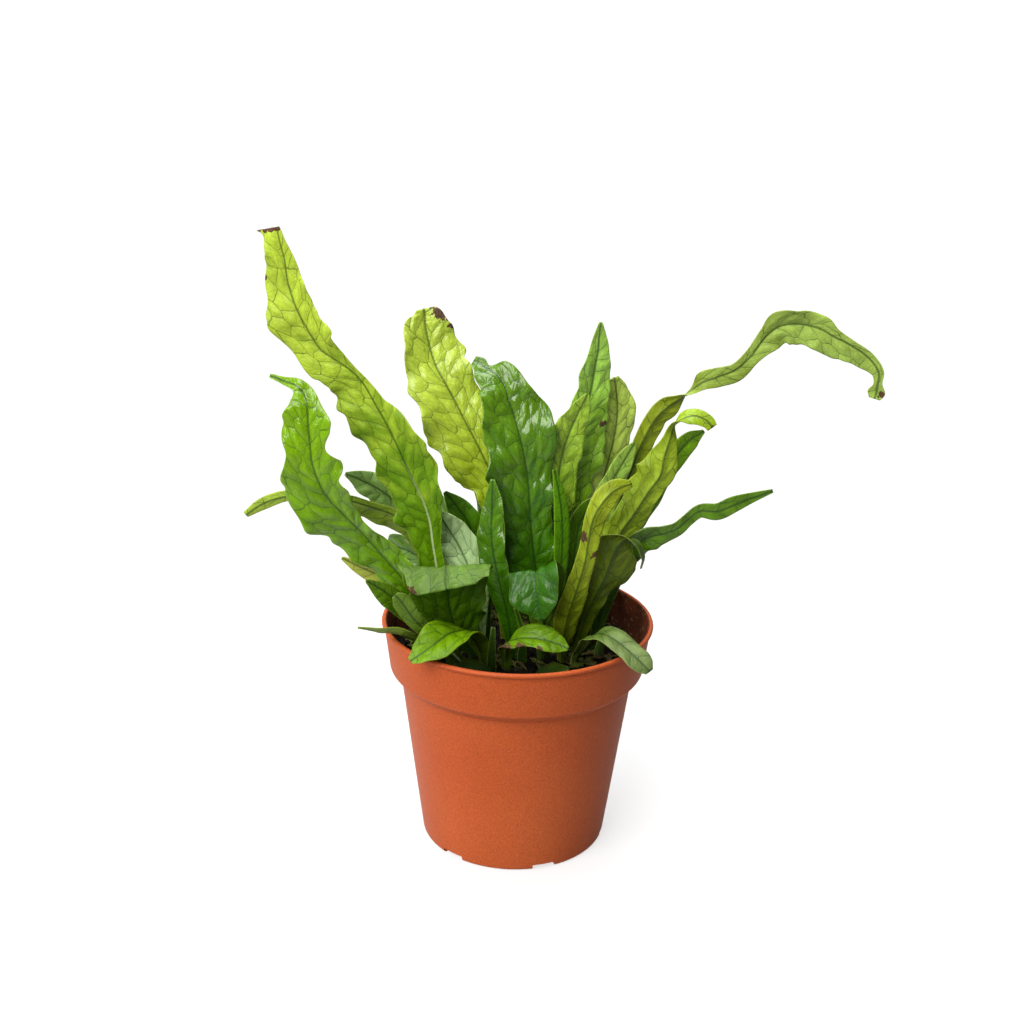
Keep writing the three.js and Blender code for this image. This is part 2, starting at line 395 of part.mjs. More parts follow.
// The midrib as evenly spaced samples, each with its place, across and upward directions and widths.
function spine(frond) {
  const [x, y] = frond.foot;
  const stations = [[x, y, ROOT_Z, FOOT_HALF_WIDTH, FOOT_HALF_WIDTH, 0],
    [x, y, COLLAR_OF_STALK_Z, FOOT_HALF_WIDTH, FOOT_HALF_WIDTH, 0], ...frond.stations];
  const lengths = [0];
  for (let i = 1; i < stations.length; i += 1) {
    const [a, b] = [stations[i - 1], stations[i]];
    lengths.push(lengths[i - 1] + Math.hypot(b[0] - a[0], b[1] - a[1], b[2] - a[2]));
  }
  const length = lengths[lengths.length - 1];
  const samples = [];
  for (let i = 0; i <= SPINE_SAMPLES; i += 1) {
    const s = stationAt(stations, lengths, length * i / SPINE_SAMPLES);
    samples.push({ place: new THREE.Vector3(s[0], s[1], s[2]), left: s[3], right: s[4], turn: s[5] });
  }
  const facing = THREE.MathUtils.degToRad(frond.faces);
  let up = new THREE.Vector3(Math.sin(facing), -Math.cos(facing), 0);
  samples.forEach((sample, i) => {
    const next = samples[Math.min(i + 1, SPINE_SAMPLES)].place;
    const last = samples[Math.max(i - 1, 0)].place;
    const along = next.clone().sub(last).normalize();
    up = up.clone().addScaledVector(along, -up.dot(along)).normalize();
    sample.up = up.clone().applyAxisAngle(along, THREE.MathUtils.degToRad(sample.turn));
    sample.across = along.clone().cross(sample.up);
  });
  return { samples, length };
}

function smooth(low, high, value) {
  const t = Math.min(Math.max((value - low) / (high - low), 0), 1);
  return t * t * (3 - 2 * t);
}

// A point of the upper face, and the direction through the blade. side runs from -1 to 1.
function bladePoint(line, phase, camber, share, side, bulge) {
  const reach = Math.abs(side);
  const first = line.samples[Math.round(share * SPINE_SAMPLES)];
  const fade = smooth(0, 0.2, share) * (1 - smooth(0.75, 1, share));
  const lean = VEIN_LEAN * reach * (side < 0 ? first.left : first.right) * fade;
  const shifted = Math.min(share + lean / line.length, 1);
  const sample = line.samples[Math.round(shifted * SPINE_SAMPLES)];
  const width = side < 0 ? sample.left : sample.right;
  const grown = smooth(...GROWN, width);
  const angle = 2 * Math.PI * shifted * line.length / WAVE.length + phase + (side < 0 ? WAVE.otherEdge : 0);
  const wave = WAVE.share * reach * reach * Math.sin(angle);
  const rise = (width * (camber * reach + wave) + bulge) * grown;
  const place = sample.place.clone()
    .addScaledVector(sample.across, side * width)
    .addScaledVector(sample.up, rise);
  return { place, down: sample.up.clone().negate() };
}

function frondGeometry(frond, phase) {
  const line = spine(frond);
  const camber = frond.camber ?? CAMBER;
  const { columns, rows } = frond.size;
  const across = columns + 1;
  const layer = across * (rows + 1);
  const positions = new Float32Array(layer * 2 * 3);
  for (let i = 0; i <= rows; i += 1) {
    const share = i / rows;
    const stalk = 1 - smooth(0.05, 0.25, share);
    for (let j = 0; j <= columns; j += 1) {
      const side = 2 * j / columns - 1;
      const reach = Math.abs(side);
      const inner = reach > 0 && reach < 1 ? 1 : 0;
      const bulge = QUILT * inner * ((i + (side < 0 ? 1 : 0)) % 2 ? 1 : -0.4);
      const { place, down } = bladePoint(line, phase, camber, share, side, bulge);
      const rib = RIB_DEPTH * (1 - reach) ** 3 * (1 - share);
      const thickness = BLADE_THICKNESS + rib + STALK_THICKNESS * stalk * (1 - 0.5 * reach * reach);
      place.addScaledVector(down, -stalk * thickness / 2);
      place.toArray(positions, (i * across + j) * 3);
      place.addScaledVector(down, thickness).toArray(positions, (layer + i * across + j) * 3);
    }
  }
  const index = [];
  const quad = (a, b, c, d) => index.push(a, b, c, a, c, d);
  for (let i = 0; i < rows; i += 1) {
    for (let j = 0; j < columns; j += 1) {
      const a = i * across + j;
      const [b, c, d] = [a + 1, a + across + 1, a + across];
      quad(a, b, c, d);
      index.push(layer + a, layer + c, layer + b, layer + a, layer + d, layer + c);
    }
    const left = i * across;
    const right = left + columns;
    quad(left, left + across, layer + left + across, layer + left);
    quad(right, layer + right, layer + right + across, right + across);
  }
  for (let j = 0; j < columns; j += 1) {
    const tip = rows * across + j;
    quad(j, layer + j, layer + j + 1, j + 1);
    quad(tip, tip + 1, layer + tip + 1, layer + tip);
  }
  const geometry = new THREE.BufferGeometry();
  geometry.setAttribute("position", new THREE.BufferAttribute(positions, 3));
  geometry.setIndex(index);
  return geometry;
}

// ---- the whole object ----
const terracotta = new THREE.MeshStandardMaterial({ color: 0xb9532e, roughness: 0.45, metalness: 0 });
const earth = new THREE.MeshStandardMaterial({ color: 0x3a2a20, roughness: 0.95, metalness: 0 });

function piece(name, geometry, material) {
  geometry.computeVertexNormals();
  const mesh = new THREE.Mesh(geometry, material);
  mesh.name = name;
  return mesh;
}

const fern = new THREE.Group();
fern.add(piece("pot", potGeometry(), terracotta));
fern.add(piece("soil", soilGeometry(), earth));
Object.entries(FRONDS).forEach(([name, frond], number) => {
  const leaf = new THREE.MeshStandardMaterial({ color: GREENS[frond.green], roughness: 0.4, metalness: 0 });
  fern.add(piece(name, frondGeometry(frond, 1.7 * number), leaf));
});

export default fern;
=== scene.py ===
"""Looks of the potted fern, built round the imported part. +Z is up, and the front is -Y.

Sizes are written in millimetres and turned into metres by MM where a mesh is made.
"""
import math
from types import SimpleNamespace

import bmesh
import bpy
import numpy as np
from mathutils import Matrix, Vector


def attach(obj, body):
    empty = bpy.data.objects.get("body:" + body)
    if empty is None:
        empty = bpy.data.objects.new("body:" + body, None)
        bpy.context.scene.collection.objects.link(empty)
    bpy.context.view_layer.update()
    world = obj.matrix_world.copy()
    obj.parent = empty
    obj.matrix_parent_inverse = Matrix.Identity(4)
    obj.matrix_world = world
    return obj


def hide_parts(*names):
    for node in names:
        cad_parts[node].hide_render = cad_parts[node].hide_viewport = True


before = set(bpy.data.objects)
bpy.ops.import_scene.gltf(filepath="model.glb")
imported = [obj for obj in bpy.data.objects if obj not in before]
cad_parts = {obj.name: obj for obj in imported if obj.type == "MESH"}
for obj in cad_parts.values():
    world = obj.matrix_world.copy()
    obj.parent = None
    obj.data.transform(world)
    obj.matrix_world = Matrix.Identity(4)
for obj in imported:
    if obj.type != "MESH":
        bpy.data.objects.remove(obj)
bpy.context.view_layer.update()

MM = 0.001

# ---- pot and soil, the same sizes as in the part ----
POT_HEIGHT = 95
RIM_RADIUS = 55
COLLAR_TOP_RADIUS = 53.6
COLLAR_BOTTOM_RADIUS = 51.8
COLLAR_BOTTOM_Z = 76.3
SHOULDER_RADIUS = 47.4
SHOULDER_Z = 71.7
BASE_RADIUS = 38
WALL = 1.2
LIP_FLARE = 0.4  # how far the inside flares out at the lip
FLOOR_Z = 5
DISC_RADIUS = 18
RING_INNER_RADIUS = 33
CHANNEL_HEIGHT = 2.6
NOTCHES = {"count": 6, "width": 10, "depth": 12, "height": 2.5, "first_degrees": -70}
DRAINS = {"count": 6, "radius": 3.5, "ring": 25.5, "first_degrees": -40, "sides": 24}
GAP = 0.3  # between the pot and the soil
SOIL_Z = 80
SOIL_MOUND = 2

# ---- finer detail of the pot and the soil ----
POT_SIDES = 192
ROUNDINGS = {"bead": 0.85, "lip": 0.7, "base": 0.8, "heel": 2.0, "collar": 1.6}
SHOULDER_STEP = (1.9, 1.6)  # out and up
SOIL_SIDES = 120
SOIL_RINGS = 46
CRUMBS = 900
CRUMB_SIZE = (0.3, 0.8)
BIG_CRUMBS = 0.15  # share of the crumbs that are bigger
BIG_CRUMB_MORE = (0.4, 1.1)  # and by how much

# ---- fronds, the same sizes as in the part ----
ROOT_Z = 74
COLLAR_OF_STALK_Z = 84
FOOT_HALF_WIDTH = 1.9
CAMBER = 0.16
VEIN_LEAN = 0.45
WAVE_SHARE = 0.12
WAVE_LENGTH = 24

# ---- finer detail of the fronds ----
SPINE_SAMPLES = 640
GRID = 0.75  # spacing of the mesh on a blade
BLADE_THICKNESS = 0.5
EDGE_THICKNESS = 0.22
STALK_THICKNESS = 2.4
RIB_HEIGHT = 0.9  # midrib under the blade, at its foot
RIB_WIDTH = 0.9
GROOVE_DEPTH = 0.3  # over the midrib
GROOVE_WIDTH = 0.7
CELL_ALONG = 7.2  # size of a cell of the raised net
CELL_ACROSS = 5.6
NET_LEAN = 0.45  # the net leans to the tip by this share of the width
NET_SHIFT = 173  # sets the pattern of one frond apart from the next
PUCKER = 0.6  # height of the cushion in a cell
PUCKER_TOP = 0.42  # in cells from a vein, where a cushion is at its height
PUCKER_START = (0.6, 2.4)  # cushions start this far from the midrib
GROWN = (3, 6)  # half-widths between which the relief grows to its full height
STALK_END = (0.05, 0.25)  # the stalk flattens into the blade, as shares of the length
RUFFLE = {"height": 0.5, "length": 13}
RAGGED = 0.045  # how much the outline comes and goes, as a share of the width

# ---- dead bits of frond on the soil ----
FLAKES = 110
FLAKE_LENGTH = (5, 11)
FLAKE_WIDTH = (1.8, 3.8)
FLAKE_THICKNESS = 0.3
FLAKE_GRID = (6, 2)
FLAKE_LIFT = 0.4

# ---- looks of the fronds, with colours in sRGB ----
UNDER_ROUGHNESS = 0.5
BURNT_ROUGHNESS = 0.8
UNDER_TINT = (132, 156, 72)  # what an underside leans to
UNDER_TINT_SHARE = 0.45
UNDER_SHADE = (60, 80, 20)  # what its darker patches lean to
UNDER_SHADE_SHARE = 0.2
MARGIN_TINT = (190, 196, 90)  # what the pale margin leans to
VEIN_DARK = (18, 52, 12)
BURNT = [(96, 66, 38), (52, 38, 28)]
GLOSS_VEIL = 0.009  # linear light that the gloss adds all over a leaf
DARKEST = 0.0015  # no diffuse colour of a leaf is darker, in linear light

# Patterns on a frond. Fades are the two distances between which a thing ends.
NET_BEND = {"scale": 0.16, "reach": 3.0}
NET_RANDOMNESS = 0.85
SMALL_NET = 0.36  # cells of the finest net, as a share of the raised net's
VEIN_FADE = (0.004, 0.04)  # in cells
VEIN_STRENGTH = (0.55, 1)  # the veins come and go between these
VEIN_SHARE = 0.95
VEIN_DARK_SHARE = 0.75
VEIN_ROUGHER = 0.12
SMALL_VEIN_FADE = (0.01, 0.07)  # in cells
SMALL_VEIN_DARK = 0.2
RIB_FADE = (0.22, 0.6)  # in millimetres from the middle
RIB_SHARE = 0.9
PALE_RIB_END = (0.3, 0.5)  # a pale midrib ends here, as shares of the length
MARGIN_FADE = (0.08, 0.35)  # in millimetres from the edge
UPPER_FADE = (0.3, 0.85)  # from the low colour to the high one, as shares of the length
UNDER_FADE = (0.2, 0.9)
MOTTLE_REACH = 0.7  # how far the mottle moves these fades
MOTTLE_LIGHT = (0.86, 1.12)
FINE_MOTTLE_LIGHT = (0.95, 1.05)
CUSHION_LIGHT = (0.93, 1.04)  # painted shade at a vein, and painted light in the middle of a cell
CUSHION_TOP = 0.45  # in cells from a vein
SOIL_SHADE = {"height": 24, "light": 0.35}  # fronds are darker at the soil, up to this height
BURN_RAGGED = 2.4  # of a spot's radius, how far its edge wanders
BURN_FADE = (0.75, 1.05)  # of a spot's radius, where it ends
GLOSS_VARIES = (-0.04, 0.12)
BLADE_BUMP = (0.5, 0.12)  # strength, and depth in millimetres

# ---- looks of the pot and the soil, with colours in sRGB ----
POT_COLOURS = [(174, 79, 39), (184, 89, 47)]
POT_GRAIN_LIGHT = (0.83, 1.17)
POT_ROUGHNESS = (0.42, 0.52)
POT_SHINE = 0.12
POT_BUMP = (0.35, 0.08)  # strength, and depth in millimetres
SCUFF_COLOUR = (226, 190, 168)
WALL_DIRT_AND_SHADE = (60, 29, 15)  # earth on the inside of the wall, dark enough to be painted shade as well
EARTH_CRUMBS = (130, 112, 86)
SOIL_COLOURS = [(7, 5, 4), (20, 15, 10)]
SOIL_FLECKS = (74, 60, 42)
MOSS_COLOUR = (78, 84, 36)
SOIL_ROUGHNESS = (0.8, 1.0)
SOIL_SHINE = 0.1
SOIL_BUMP = (0.8, 0.5)
DEAD_BROWN = (70, 54, 30)
DEAD_GREEN = (88, 108, 42)
DEAD_SHADE = (48, 42, 22)

# Noises as scale, detail and roughness. Scales are per millimetre on a frond, and per metre elsewhere.
NOISES = {
    "mottle": (0.11, 3, 0.5),
    "fine mottle": (0.9, 2, 0.5),
    "vein strength": (0.2, 1, 0.5),
    "burnt edge": (0.7, 4, 0.5),
    "burnt brown": (1.6, 3, 0.5),
    "gloss": (0.35, 2, 0.5),
    "blade grain": (2.2, 2, 0.5),
    "pot tone": (14, 3, 0.5),
    "pot grain": (1500, 3, 0.7),
    "wall dirt and shade": (90, 5, 0.65),
    "earth crumbs": (420, 4, 0.7),
    "scuffs": (260, 5, 0.75),
    "scuffed patches": (30, 2, 0.5),
    "coarse soil": (160, 5, 0.65),
    "fine soil": (900, 3, 0.6),
    "moss": (130, 5, 0.7),
    "floor": (3, 2, 0.5),
}
NOISE_SPAN = (0.3, 0.7)  # most of a noise lies between these

# ---- floor, lamps and camera: metres, unless another unit is named ----
FLOOR_COLOURS = [(247, 247, 247), (250, 250, 250)]
FLOOR_FADE = (0.1, 0.6)  # from the middle
FLOOR_ALPHA = 0.35
LAMPS = {
    "key": dict(place=(-0.8, -1.2, 1.15), size=1.3, watts=42, colour=(1, 0.98, 0.94)),
    "side": dict(place=(-1.3, -0.1, 0.7), size=0.6, watts=3, colour=(1, 1, 1)),
    "top": dict(place=(-0.1, 0.2, 1.4), size=0.9, watts=16, colour=(0.98, 0.99, 1)),
}
LAMPS_AIM = (0, 0, 0.14)
BACKDROP = 1.05  # white, where the camera sees it
WALLS = (0.17, 0.66)  # light from the front and from the back
CEILING = 0.22
GROUND = (0.3, 0.6)
RIGHT_SIDE = 0.4  # of the light on the left
CAMERA_PLACE = (-3.2 * MM, -532.6 * MM, 324.0 * MM)
CAMERA_DOWN, CAMERA_ROLL = 19.06, 1.24  # degrees


def linear(rgb):
    """An sRGB colour of 0 to 255 as a linear colour with alpha."""
    share = [c / 255 for c in rgb]
    return tuple(c / 12.92 if c <= 0.04045 else ((c + 0.055) / 1.055) ** 2.4 for c in share) + (1,)


def leaf_colour(rgb):
    """The diffuse colour under a gloss that gives back a little white of its own."""
    return tuple(max(0.97 * c - GLOSS_VEIL, DARKEST) for c in linear(rgb)[:3]) + (1,)


def blended(a, b, share):
    return tuple(x + (y - x) * share for x, y in zip(a, b))


def smooth(low, high, value):
    t = np.clip((value - low) / (high - low), 0, 1)
    return t * t * (3 - 2 * t)


# ---- the fronds one by one ----
def look(slot, low, high, rough=0.38, shine=0.25, edge=0.4, under=None, rib=None, burn=()):
    """slot is the part's. low and high are the upper face's sRGB colours at the foot and at the tip.

    rough is its roughness, shine the specular level and edge how pale the margin is. under is the
    underside's colour, and rib the midrib's low down, where they aren't the usual. burn lists brown
    spots as (share of the length, side from -1 to 1, radius in mm).
    """
    under = under or blended(blended(low, high, 0.5), UNDER_TINT, UNDER_TINT_SHARE)
    return SimpleNamespace(slot="frond_" + slot, low=low, high=high, rough=rough, shine=shine,
                           edge=edge, under=under, rib=rib, burn=burn)


def frond(foot, faces, look, stations, camber=CAMBER):
    """foot is (x, y), and faces is the way the upper side faces, in degrees.

    A station is [x, y, z, left half-width, right half-width, turn in degrees], from foot to tip. A turn
    of 0 is left out, and then so is a right half-width that is the same as the left.
    """
    stations = [[x, y, z, left, *more] + [left, 0][len(more):] for x, y, z, left, *more in stations]
    return SimpleNamespace(foot=foot, faces=faces, look=look, stations=stations, camber=camber)


FRONDS = dict(
    tall_left=frond((-24, -3), -15, look("middle", (96, 138, 10), (170, 194, 62), rough=0.4, shine=0.15,
        rib=(176, 190, 140), burn=[(1, -0.6, 1.8), (1, 0.3, 1.6), (0.9, -1, 1)]), [
        [-31, -6.5, 110, 5, 4], [-34, -9.5, 129, 8, 3.5], [-35, -11, 138, 11.6, 5],
        [-37.5, -12.5, 147.5, 12, 8.6], [-41.5, -13, 156.5, 11.4, 12], [-45.5, -13, 165.5, 11.4, 12.4],
        [-49, -13, 173.5, 11.6], [-52, -13, 179.5, 13, 8], [-55.5, -12, 185.5, 13.6, 5],
        [-60.5, -11, 194, 13, 2.4], [-66, -11, 199.5, 11.4, 2.6], [-72, -10, 203, 10.4, 6],
        [-76.5, -9, 206, 10, 9.4], [-80, -8, 211, 11.6, 9.4], [-85, -7, 220, 12.4, 8],
        [-88.5, -5, 230, 9.4, 8.4], [-89.6, -5, 239, 7.4, 4.6], [-91, -5, 245, 6.4, 2.6],
        [-91.8, -4.5, 249, 6.6, 1.6], [-92, -4, 250.5, 8.4, 0.8]]),
    left_broad=frond((-30, -5), -10, look("dark", (100, 144, 0), (118, 162, 0), rough=0.16, shine=0.4), [
        [-40, -9, 105, 5], [-46, -13, 116, 7, 8], [-57, -14.5, 130, 9.5, 7.5], [-61.5, -17, 136.5, 12, 5.4],
        [-66, -19, 142, 13.4, 6], [-73.5, -22, 152, 14.8, 9.6], [-76.5, -23, 158.5, 14.6, 10.6],
        [-78.5, -24, 166, 10.6, 11.4], [-79, -24, 171.5, 9.4, 6.2], [-79.5, -24, 180, 10.3, 10],
        [-80, -23, 188, 8, 5.4], [-81.5, -21, 192, 5.4, 4], [-84, -20, 194.5, 2.6, 3],
        [-89, -17, 195.5, 1.5, 1.6], [-95, -13, 196.5, 0.8]]),
    far_left=frond((-28, 8), 180, look("olive", (124, 152, 34), (136, 162, 42), under=(162, 190, 68)), [
        [-34, 8, 109, 4, 4.5], [-40, 7, 127, 4, 6], [-50, 4, 136.5, 2.4, 7.4], [-61, 1, 141.5, 2, 6.8],
        [-67, 0, 143.5, 2.2, 4.6], [-83, -3, 146, 2.2], [-92, -4, 146, 2.6, 2.4], [-101, -4, 143, 2.4, 3],
        [-108, -4, 138, 1.4]]),
    back_left_small=frond((-20, 14), 15, look("fresh", (146, 186, 80), (156, 192, 110), rough=0.36), [
        [-27, 14, 108, 4], [-34, 14, 122, 6, 5.5], [-50, 11, 139, 6.5, 6], [-56, 8.5, 145, 6.5, 6],
        [-62, 6.5, 149, 5], [-66, 5, 151.5, 2.8], [-69.5, 4, 153, 0.8]]),
    left_under=frond((-33, 3), 0, look("pale", (140, 160, 50), (180, 190, 80)), [
        [-45, -1, 101, 3.5], [-55, -5, 113, 4.5, 3.5], [-63, -7, 118, 3.5, 2.5], [-70, -8, 122, 0.8]]),
    left_mid=frond((-31, -12), 10, look("middle", (66, 104, 10), (94, 134, 20)), [
        [-38.5, -15, 97, 3.5], [-45.5, -20, 107, 4.5, 4], [-51.5, -25, 115, 4.5, 4], [-58, -29, 121, 0.8]]),
    left_stub=frond((-21, -24), 0, look("olive", (70, 100, 26), (92, 122, 40), rib=(150, 166, 110)), [
        [-33, -28, 98, 3], [-40, -32, 107, 3.5], [-45, -33, 115, 3.5], [-47, -33, 117, 1.5]]),
    rim_spike_left=frond((-27, -17), 150, look("fresh", (100, 134, 20), (116, 146, 34)), [
        [-38, -23, 94, 4], [-46, -29, 100, 5], [-53, -32, 102, 4], [-61, -34, 104, 0.8]]),
    sunlit_left=frond((-5, 7), 15, look("fresh", (164, 188, 34), (176, 200, 70), rough=0.24, shine=0.4,
        burn=[(0.985, 0.8, 3), (0.94, 1, 2.2)]), [
        [-6, 7, 106, 4.5], [-7.5, 7.5, 130, 6.5, 6], [-9.5, 8, 147, 9, 7.5], [-12.5, 9, 154.5, 14, 8],
        [-17.5, 10, 164.5, 15.8, 8.6], [-23.5, 11.5, 175.5, 17, 9.8], [-27, 13, 182, 15.4, 10.6],
        [-31, 14, 189, 14.2, 12], [-34.5, 16, 195, 13.2, 12.5], [-37, 18, 202, 10.6, 12],
        [-38.7, 19, 209.5, 8.4, 9.8], [-39, 20, 214, 6, 7.6], [-39.5, 20, 216.5, 3, 4.5]]),
    dark_left=frond((-13, 1), 0, look("dark", (60, 100, 4), (80, 126, 12)), [
        [-16, 1, 118, 5], [-20, 2, 133, 6.5], [-25, 2, 141, 4.5], [-30, 2, 147, 0.8]]),
    silver_left=frond((-15, -6), -10, look("silver", (150, 184, 110), (168, 196, 140), rough=0.3), [
        [-18, -6, 112, 6.5], [-23, -5, 125, 8.5, 9], [-29, -4, 135, 6, 7], [-33, -4, 141, 0.9]]),
    center_strip=frond((-2, -10), -20, look("dark", (58, 102, 4), (78, 120, 20), rough=0.17, shine=0.5), [
        [-4, -12, 100, 4], [-8, -12, 116, 5.5], [-11, -11, 132, 6], [-11, -9, 146, 3.6, 5],
        [-11, -8, 156, 0.8]]),
    center_big=frond((8, 1), 10, look("dark", (62, 108, 0), (92, 132, 34), rough=0.16, shine=0.5), [
        [8, 0, 107, 8, 6], [6, -1, 122, 12.5, 8], [4.5, -1, 134.5, 15, 8.6], [3.5, -1, 147, 16.4, 9],
        [2.5, 0, 155.5, 16.4, 10], [1, 0, 163.5, 15, 12.4], [-1, 1, 171.5, 14.4, 15.2],
        [-3, 3, 178, 13, 13.4], [-5.5, 4.5, 184.5, 11.6, 10.6], [-7, 6, 189.5, 10.8, 9],
        [-10, 8, 193.5, 9.8, 6.6], [-14, 10, 195.5, 7, 1.6], [-16.5, 11.5, 197, 4.6, 2.6],
        [-19.5, 13, 198, 2]]),
    short_center=frond((10, -12), 180, look("dark", (44, 84, 0), (54, 98, 0), rough=0.3, shine=0.3,
        burn=[(0.62, 0.1, 1)]), [
        [10, -14, 102, 6], [9, -17, 113, 8.5], [7.5, -20.5, 122, 10], [6, -25.5, 125, 10.5],
        [6, -30, 120, 10], [7.5, -32.5, 113, 7.5, 7], [9, -33, 108, 1.2]]),
    folded_front=frond((-18, -12), 0, look("middle", (76, 112, 6), (82, 120, 8), under=(94, 126, 50),
        burn=[(0.97, -0.95, 1.4)]), [
        [-24, -15, 94, 9, 10.5], [-26.5, -19, 105, 12.5, 14], [-27.5, -24, 117, 15.5, 15],
        [-27.5, -28.5, 125, 17, 16], [-27.5, -32.5, 128.5, 17.5, 16.8], [-27.5, -36.5, 127.5, 17, 16.8],
        [-27.5, -39.5, 125, 15, 16], [-27, -41, 122.8, 10, 12]], camber=-0.05),
    right_narrow=frond((14, 2), 20, look("middle", (74, 122, 4), (88, 138, 12)), [
        [16, -2, 106, 2.5], [17, -4, 127, 3.5, 3], [16, -4, 144, 3], [13, -3, 159, 0.8]]),
    center_right=frond((10, 9), 10, look("middle", (92, 138, 8), (158, 194, 60), rough=0.2, shine=0.45), [
        [12, 7, 121, 5], [14, 6, 142, 7], [16, 5, 162, 7.5], [19, 4, 173, 6.5, 6], [22, 3, 181, 4.5],
        [25, 2, 188, 0.8]]),
    pointed_right=frond((15, 13), 20, look("fresh", (144, 194, 24), (160, 208, 84), rough=0.18, shine=0.5,
        burn=[(0.68, 0.8, 1.7)]), [
        [16.5, 15, 120, 7.5], [18, 16, 144, 10, 11], [23, 16, 165, 9.5, 11.4], [25.5, 16, 177.5, 8.6, 8.8],
        [27.5, 15, 189, 5.8, 7.2], [28, 14, 194.5, 6.6, 6.4], [29, 13, 202, 4.2, 5],
        [29.2, 11.5, 209, 2.4, 3], [29.5, 10, 214.5, 0.8]]),
    light_right=frond((21, 20), 30, look("pale", (190, 216, 76), (200, 226, 104), rough=0.4, shine=0.2), [
        [29, 25, 125, 7], [35, 26, 150, 8], [38, 25, 166, 7.5, 7.8], [38.5, 24, 177, 6.5, 7.4],
        [37.5, 23, 185, 4.4, 5], [36.5, 22, 190, 2]]),
    pale_edged=frond((19, 6), 0, look("dark", (60, 92, 10), (70, 104, 16), edge=0.6), [
        [22, 4, 118, 4, 3.5], [24, 4, 134, 4.5, 4], [28, 3, 142, 3.5, 3], [33, 2, 146, 0.8]]),
    grey_right=frond((24, 9), 15, look("silver", (140, 182, 56), (156, 192, 84), rough=0.36), [
        [30, 9, 129, 5.5, 6], [34, 10, 143, 5.5], [38, 10, 153, 4.5, 5], [42, 10, 161, 3.5],
        [45, 10, 167, 0.8]]),
    long_right=frond((30, 14), 180, look("fresh", (134, 152, 52), (156, 184, 84), rough=0.4, shine=0.2,
        under=(144, 160, 44), burn=[(0.99, -0.6, 1.5)]), [
        [37, 15, 124, 4], [44, 16, 152, 4.6, 3.8], [48, 15, 165, 4.8, 3.6], [52.5, 13, 175.5, 5, 4],
        [57.5, 11, 182, 4.6, 4.2], [62, 9, 186.5, 3, 2.6, 45], [65, 8, 188.5, 2.2, 2.2, 90],
        [69.5, 5, 193, 4, 3, 150], [75, 4, 195.5, 4, 4.2, 175], [81.5, 2, 199, 2.8, 4.8, 180],
        [87, 1, 205, 2.8, 4, 180], [92, 0, 213, 3.4, 6.6, 180], [97, -1, 217, 6.4, 8, 180],
        [104, -2, 218, 6.6, 7.8, 180], [111.5, -3, 216.5, 5.6, 7.8, 180], [116.5, -4, 214, 3.4, 8.2, 180],
        [123, -5, 211, 2.2, 7, 180], [130, -5, 206.5, 2.2, 5.2, 180], [134.5, -5, 201, 2, 3, 180],
        [135, -4, 196, 1.7, 1.7, 185], [135, -3, 192.5, 3.4, 3.4, 190], [134.5, -3, 190, 2.2, 2.2, 195]]),
    curled_right=frond((27, 3), 170, look("olive", (130, 156, 30), (142, 170, 40), under=(142, 166, 44),
        burn=[(1, 0, 1)]), [
        [33, -1, 111, 4.5], [37, -3, 128, 7, 6.5], [45.5, -6, 144, 5.4, 7.2], [50, -7, 152.5, 4.8, 8.8],
        [54, -8, 159.5, 5.2, 10.4], [55, -8, 166.5, 5.2, 6], [56.5, -7, 173, 3.4, 3.2, 25],
        [58, -5, 178.5, 3, 3, 75], [62, -4, 181, 4, 4.2, 130], [66.5, -4, 182, 3.4, 4, 155],
        [71, -5, 180.3, 2.8, 3, 165], [73, -6, 178, 2.2, 2.2, 170]]),
    dark_right=frond((31, 8), 10, look("dark", (100, 142, 14), (114, 160, 26)), [
        [39, 6, 118, 3.5], [50, 6, 142, 4.5], [59, 5, 160, 4.5], [66, 4, 170, 4], [71, 3, 174, 0.8]]),
    low_right=frond((31, -2), 0, look("middle", (58, 86, 10), (92, 134, 18), rough=0.28, shine=0.4), [
        [38, -6, 117, 4.5], [46, -9, 130.5, 4.8, 5.2], [51, -10.5, 134.5, 4.8, 5.2],
        [56, -12, 136.5, 3.8, 4.2], [61, -13, 139, 3, 3.2], [65, -13, 143, 2.6, 2.8], [69.5, -13, 146.5, 3],
        [76, -13, 146.5, 3.6, 3.8], [82, -13, 149, 4, 3.2], [89.5, -12, 152, 2.4, 2], [97, -12, 155, 0.8]]),
    yellow_curl=frond((18, -12), 180, look("fresh", (128, 144, 30), (164, 180, 60), under=(144, 162, 38),
        burn=[(0.7, 0.8, 2), (0.62, -0.9, 1.6)]), [
        [19, -17, 100, 5], [22, -22, 115, 4.6], [25, -25, 129, 3.8], [26, -26, 138, 4.4, 3],
        [27.5, -26, 147, 5, 3.4], [31, -25, 153.5, 4.8, 4.4], [35.5, -24, 158, 3.4, 4.2],
        [41.5, -22, 160, 1.4]]),
    olive_fold=frond((24, -9), 180, look("olive", (60, 80, 8), (80, 104, 40), under=(82, 98, 12)), [
        [26, -12, 100, 4.5, 4], [30.5, -16, 113, 5.5, 6.5], [33.5, -18, 121, 9.5],
        [35.5, -19, 128, 10.5, 10], [37.5, -20, 134, 7.5, 8], [40.5, -21.5, 138, 4, 4, 30],
        [45, -23.5, 136.5, 2.8, 2.8, 60], [47.5, -24, 131, 2.6, 2.6, 60], [47, -24, 126.5, 1, 1, 60]]),
    front_left_low=frond((-13, -19), 160, look("fresh", (100, 140, 0), (110, 150, 0), rough=0.34), [
        [-16, -24, 95, 5], [-20, -30, 101.5, 7.5, 7.5, -15], [-25.5, -36.5, 103.5, 8.6, 8.2, -30],
        [-31, -42, 101.5, 8, 7.5, -30], [-36, -46, 99, 5.5, 5, -30], [-40, -48.5, 97, 1.6, 1.6, -30]]),
    front_burnt=frond((-4, -20), 170, look("olive", (94, 130, 0), (100, 138, 0), rough=0.3,
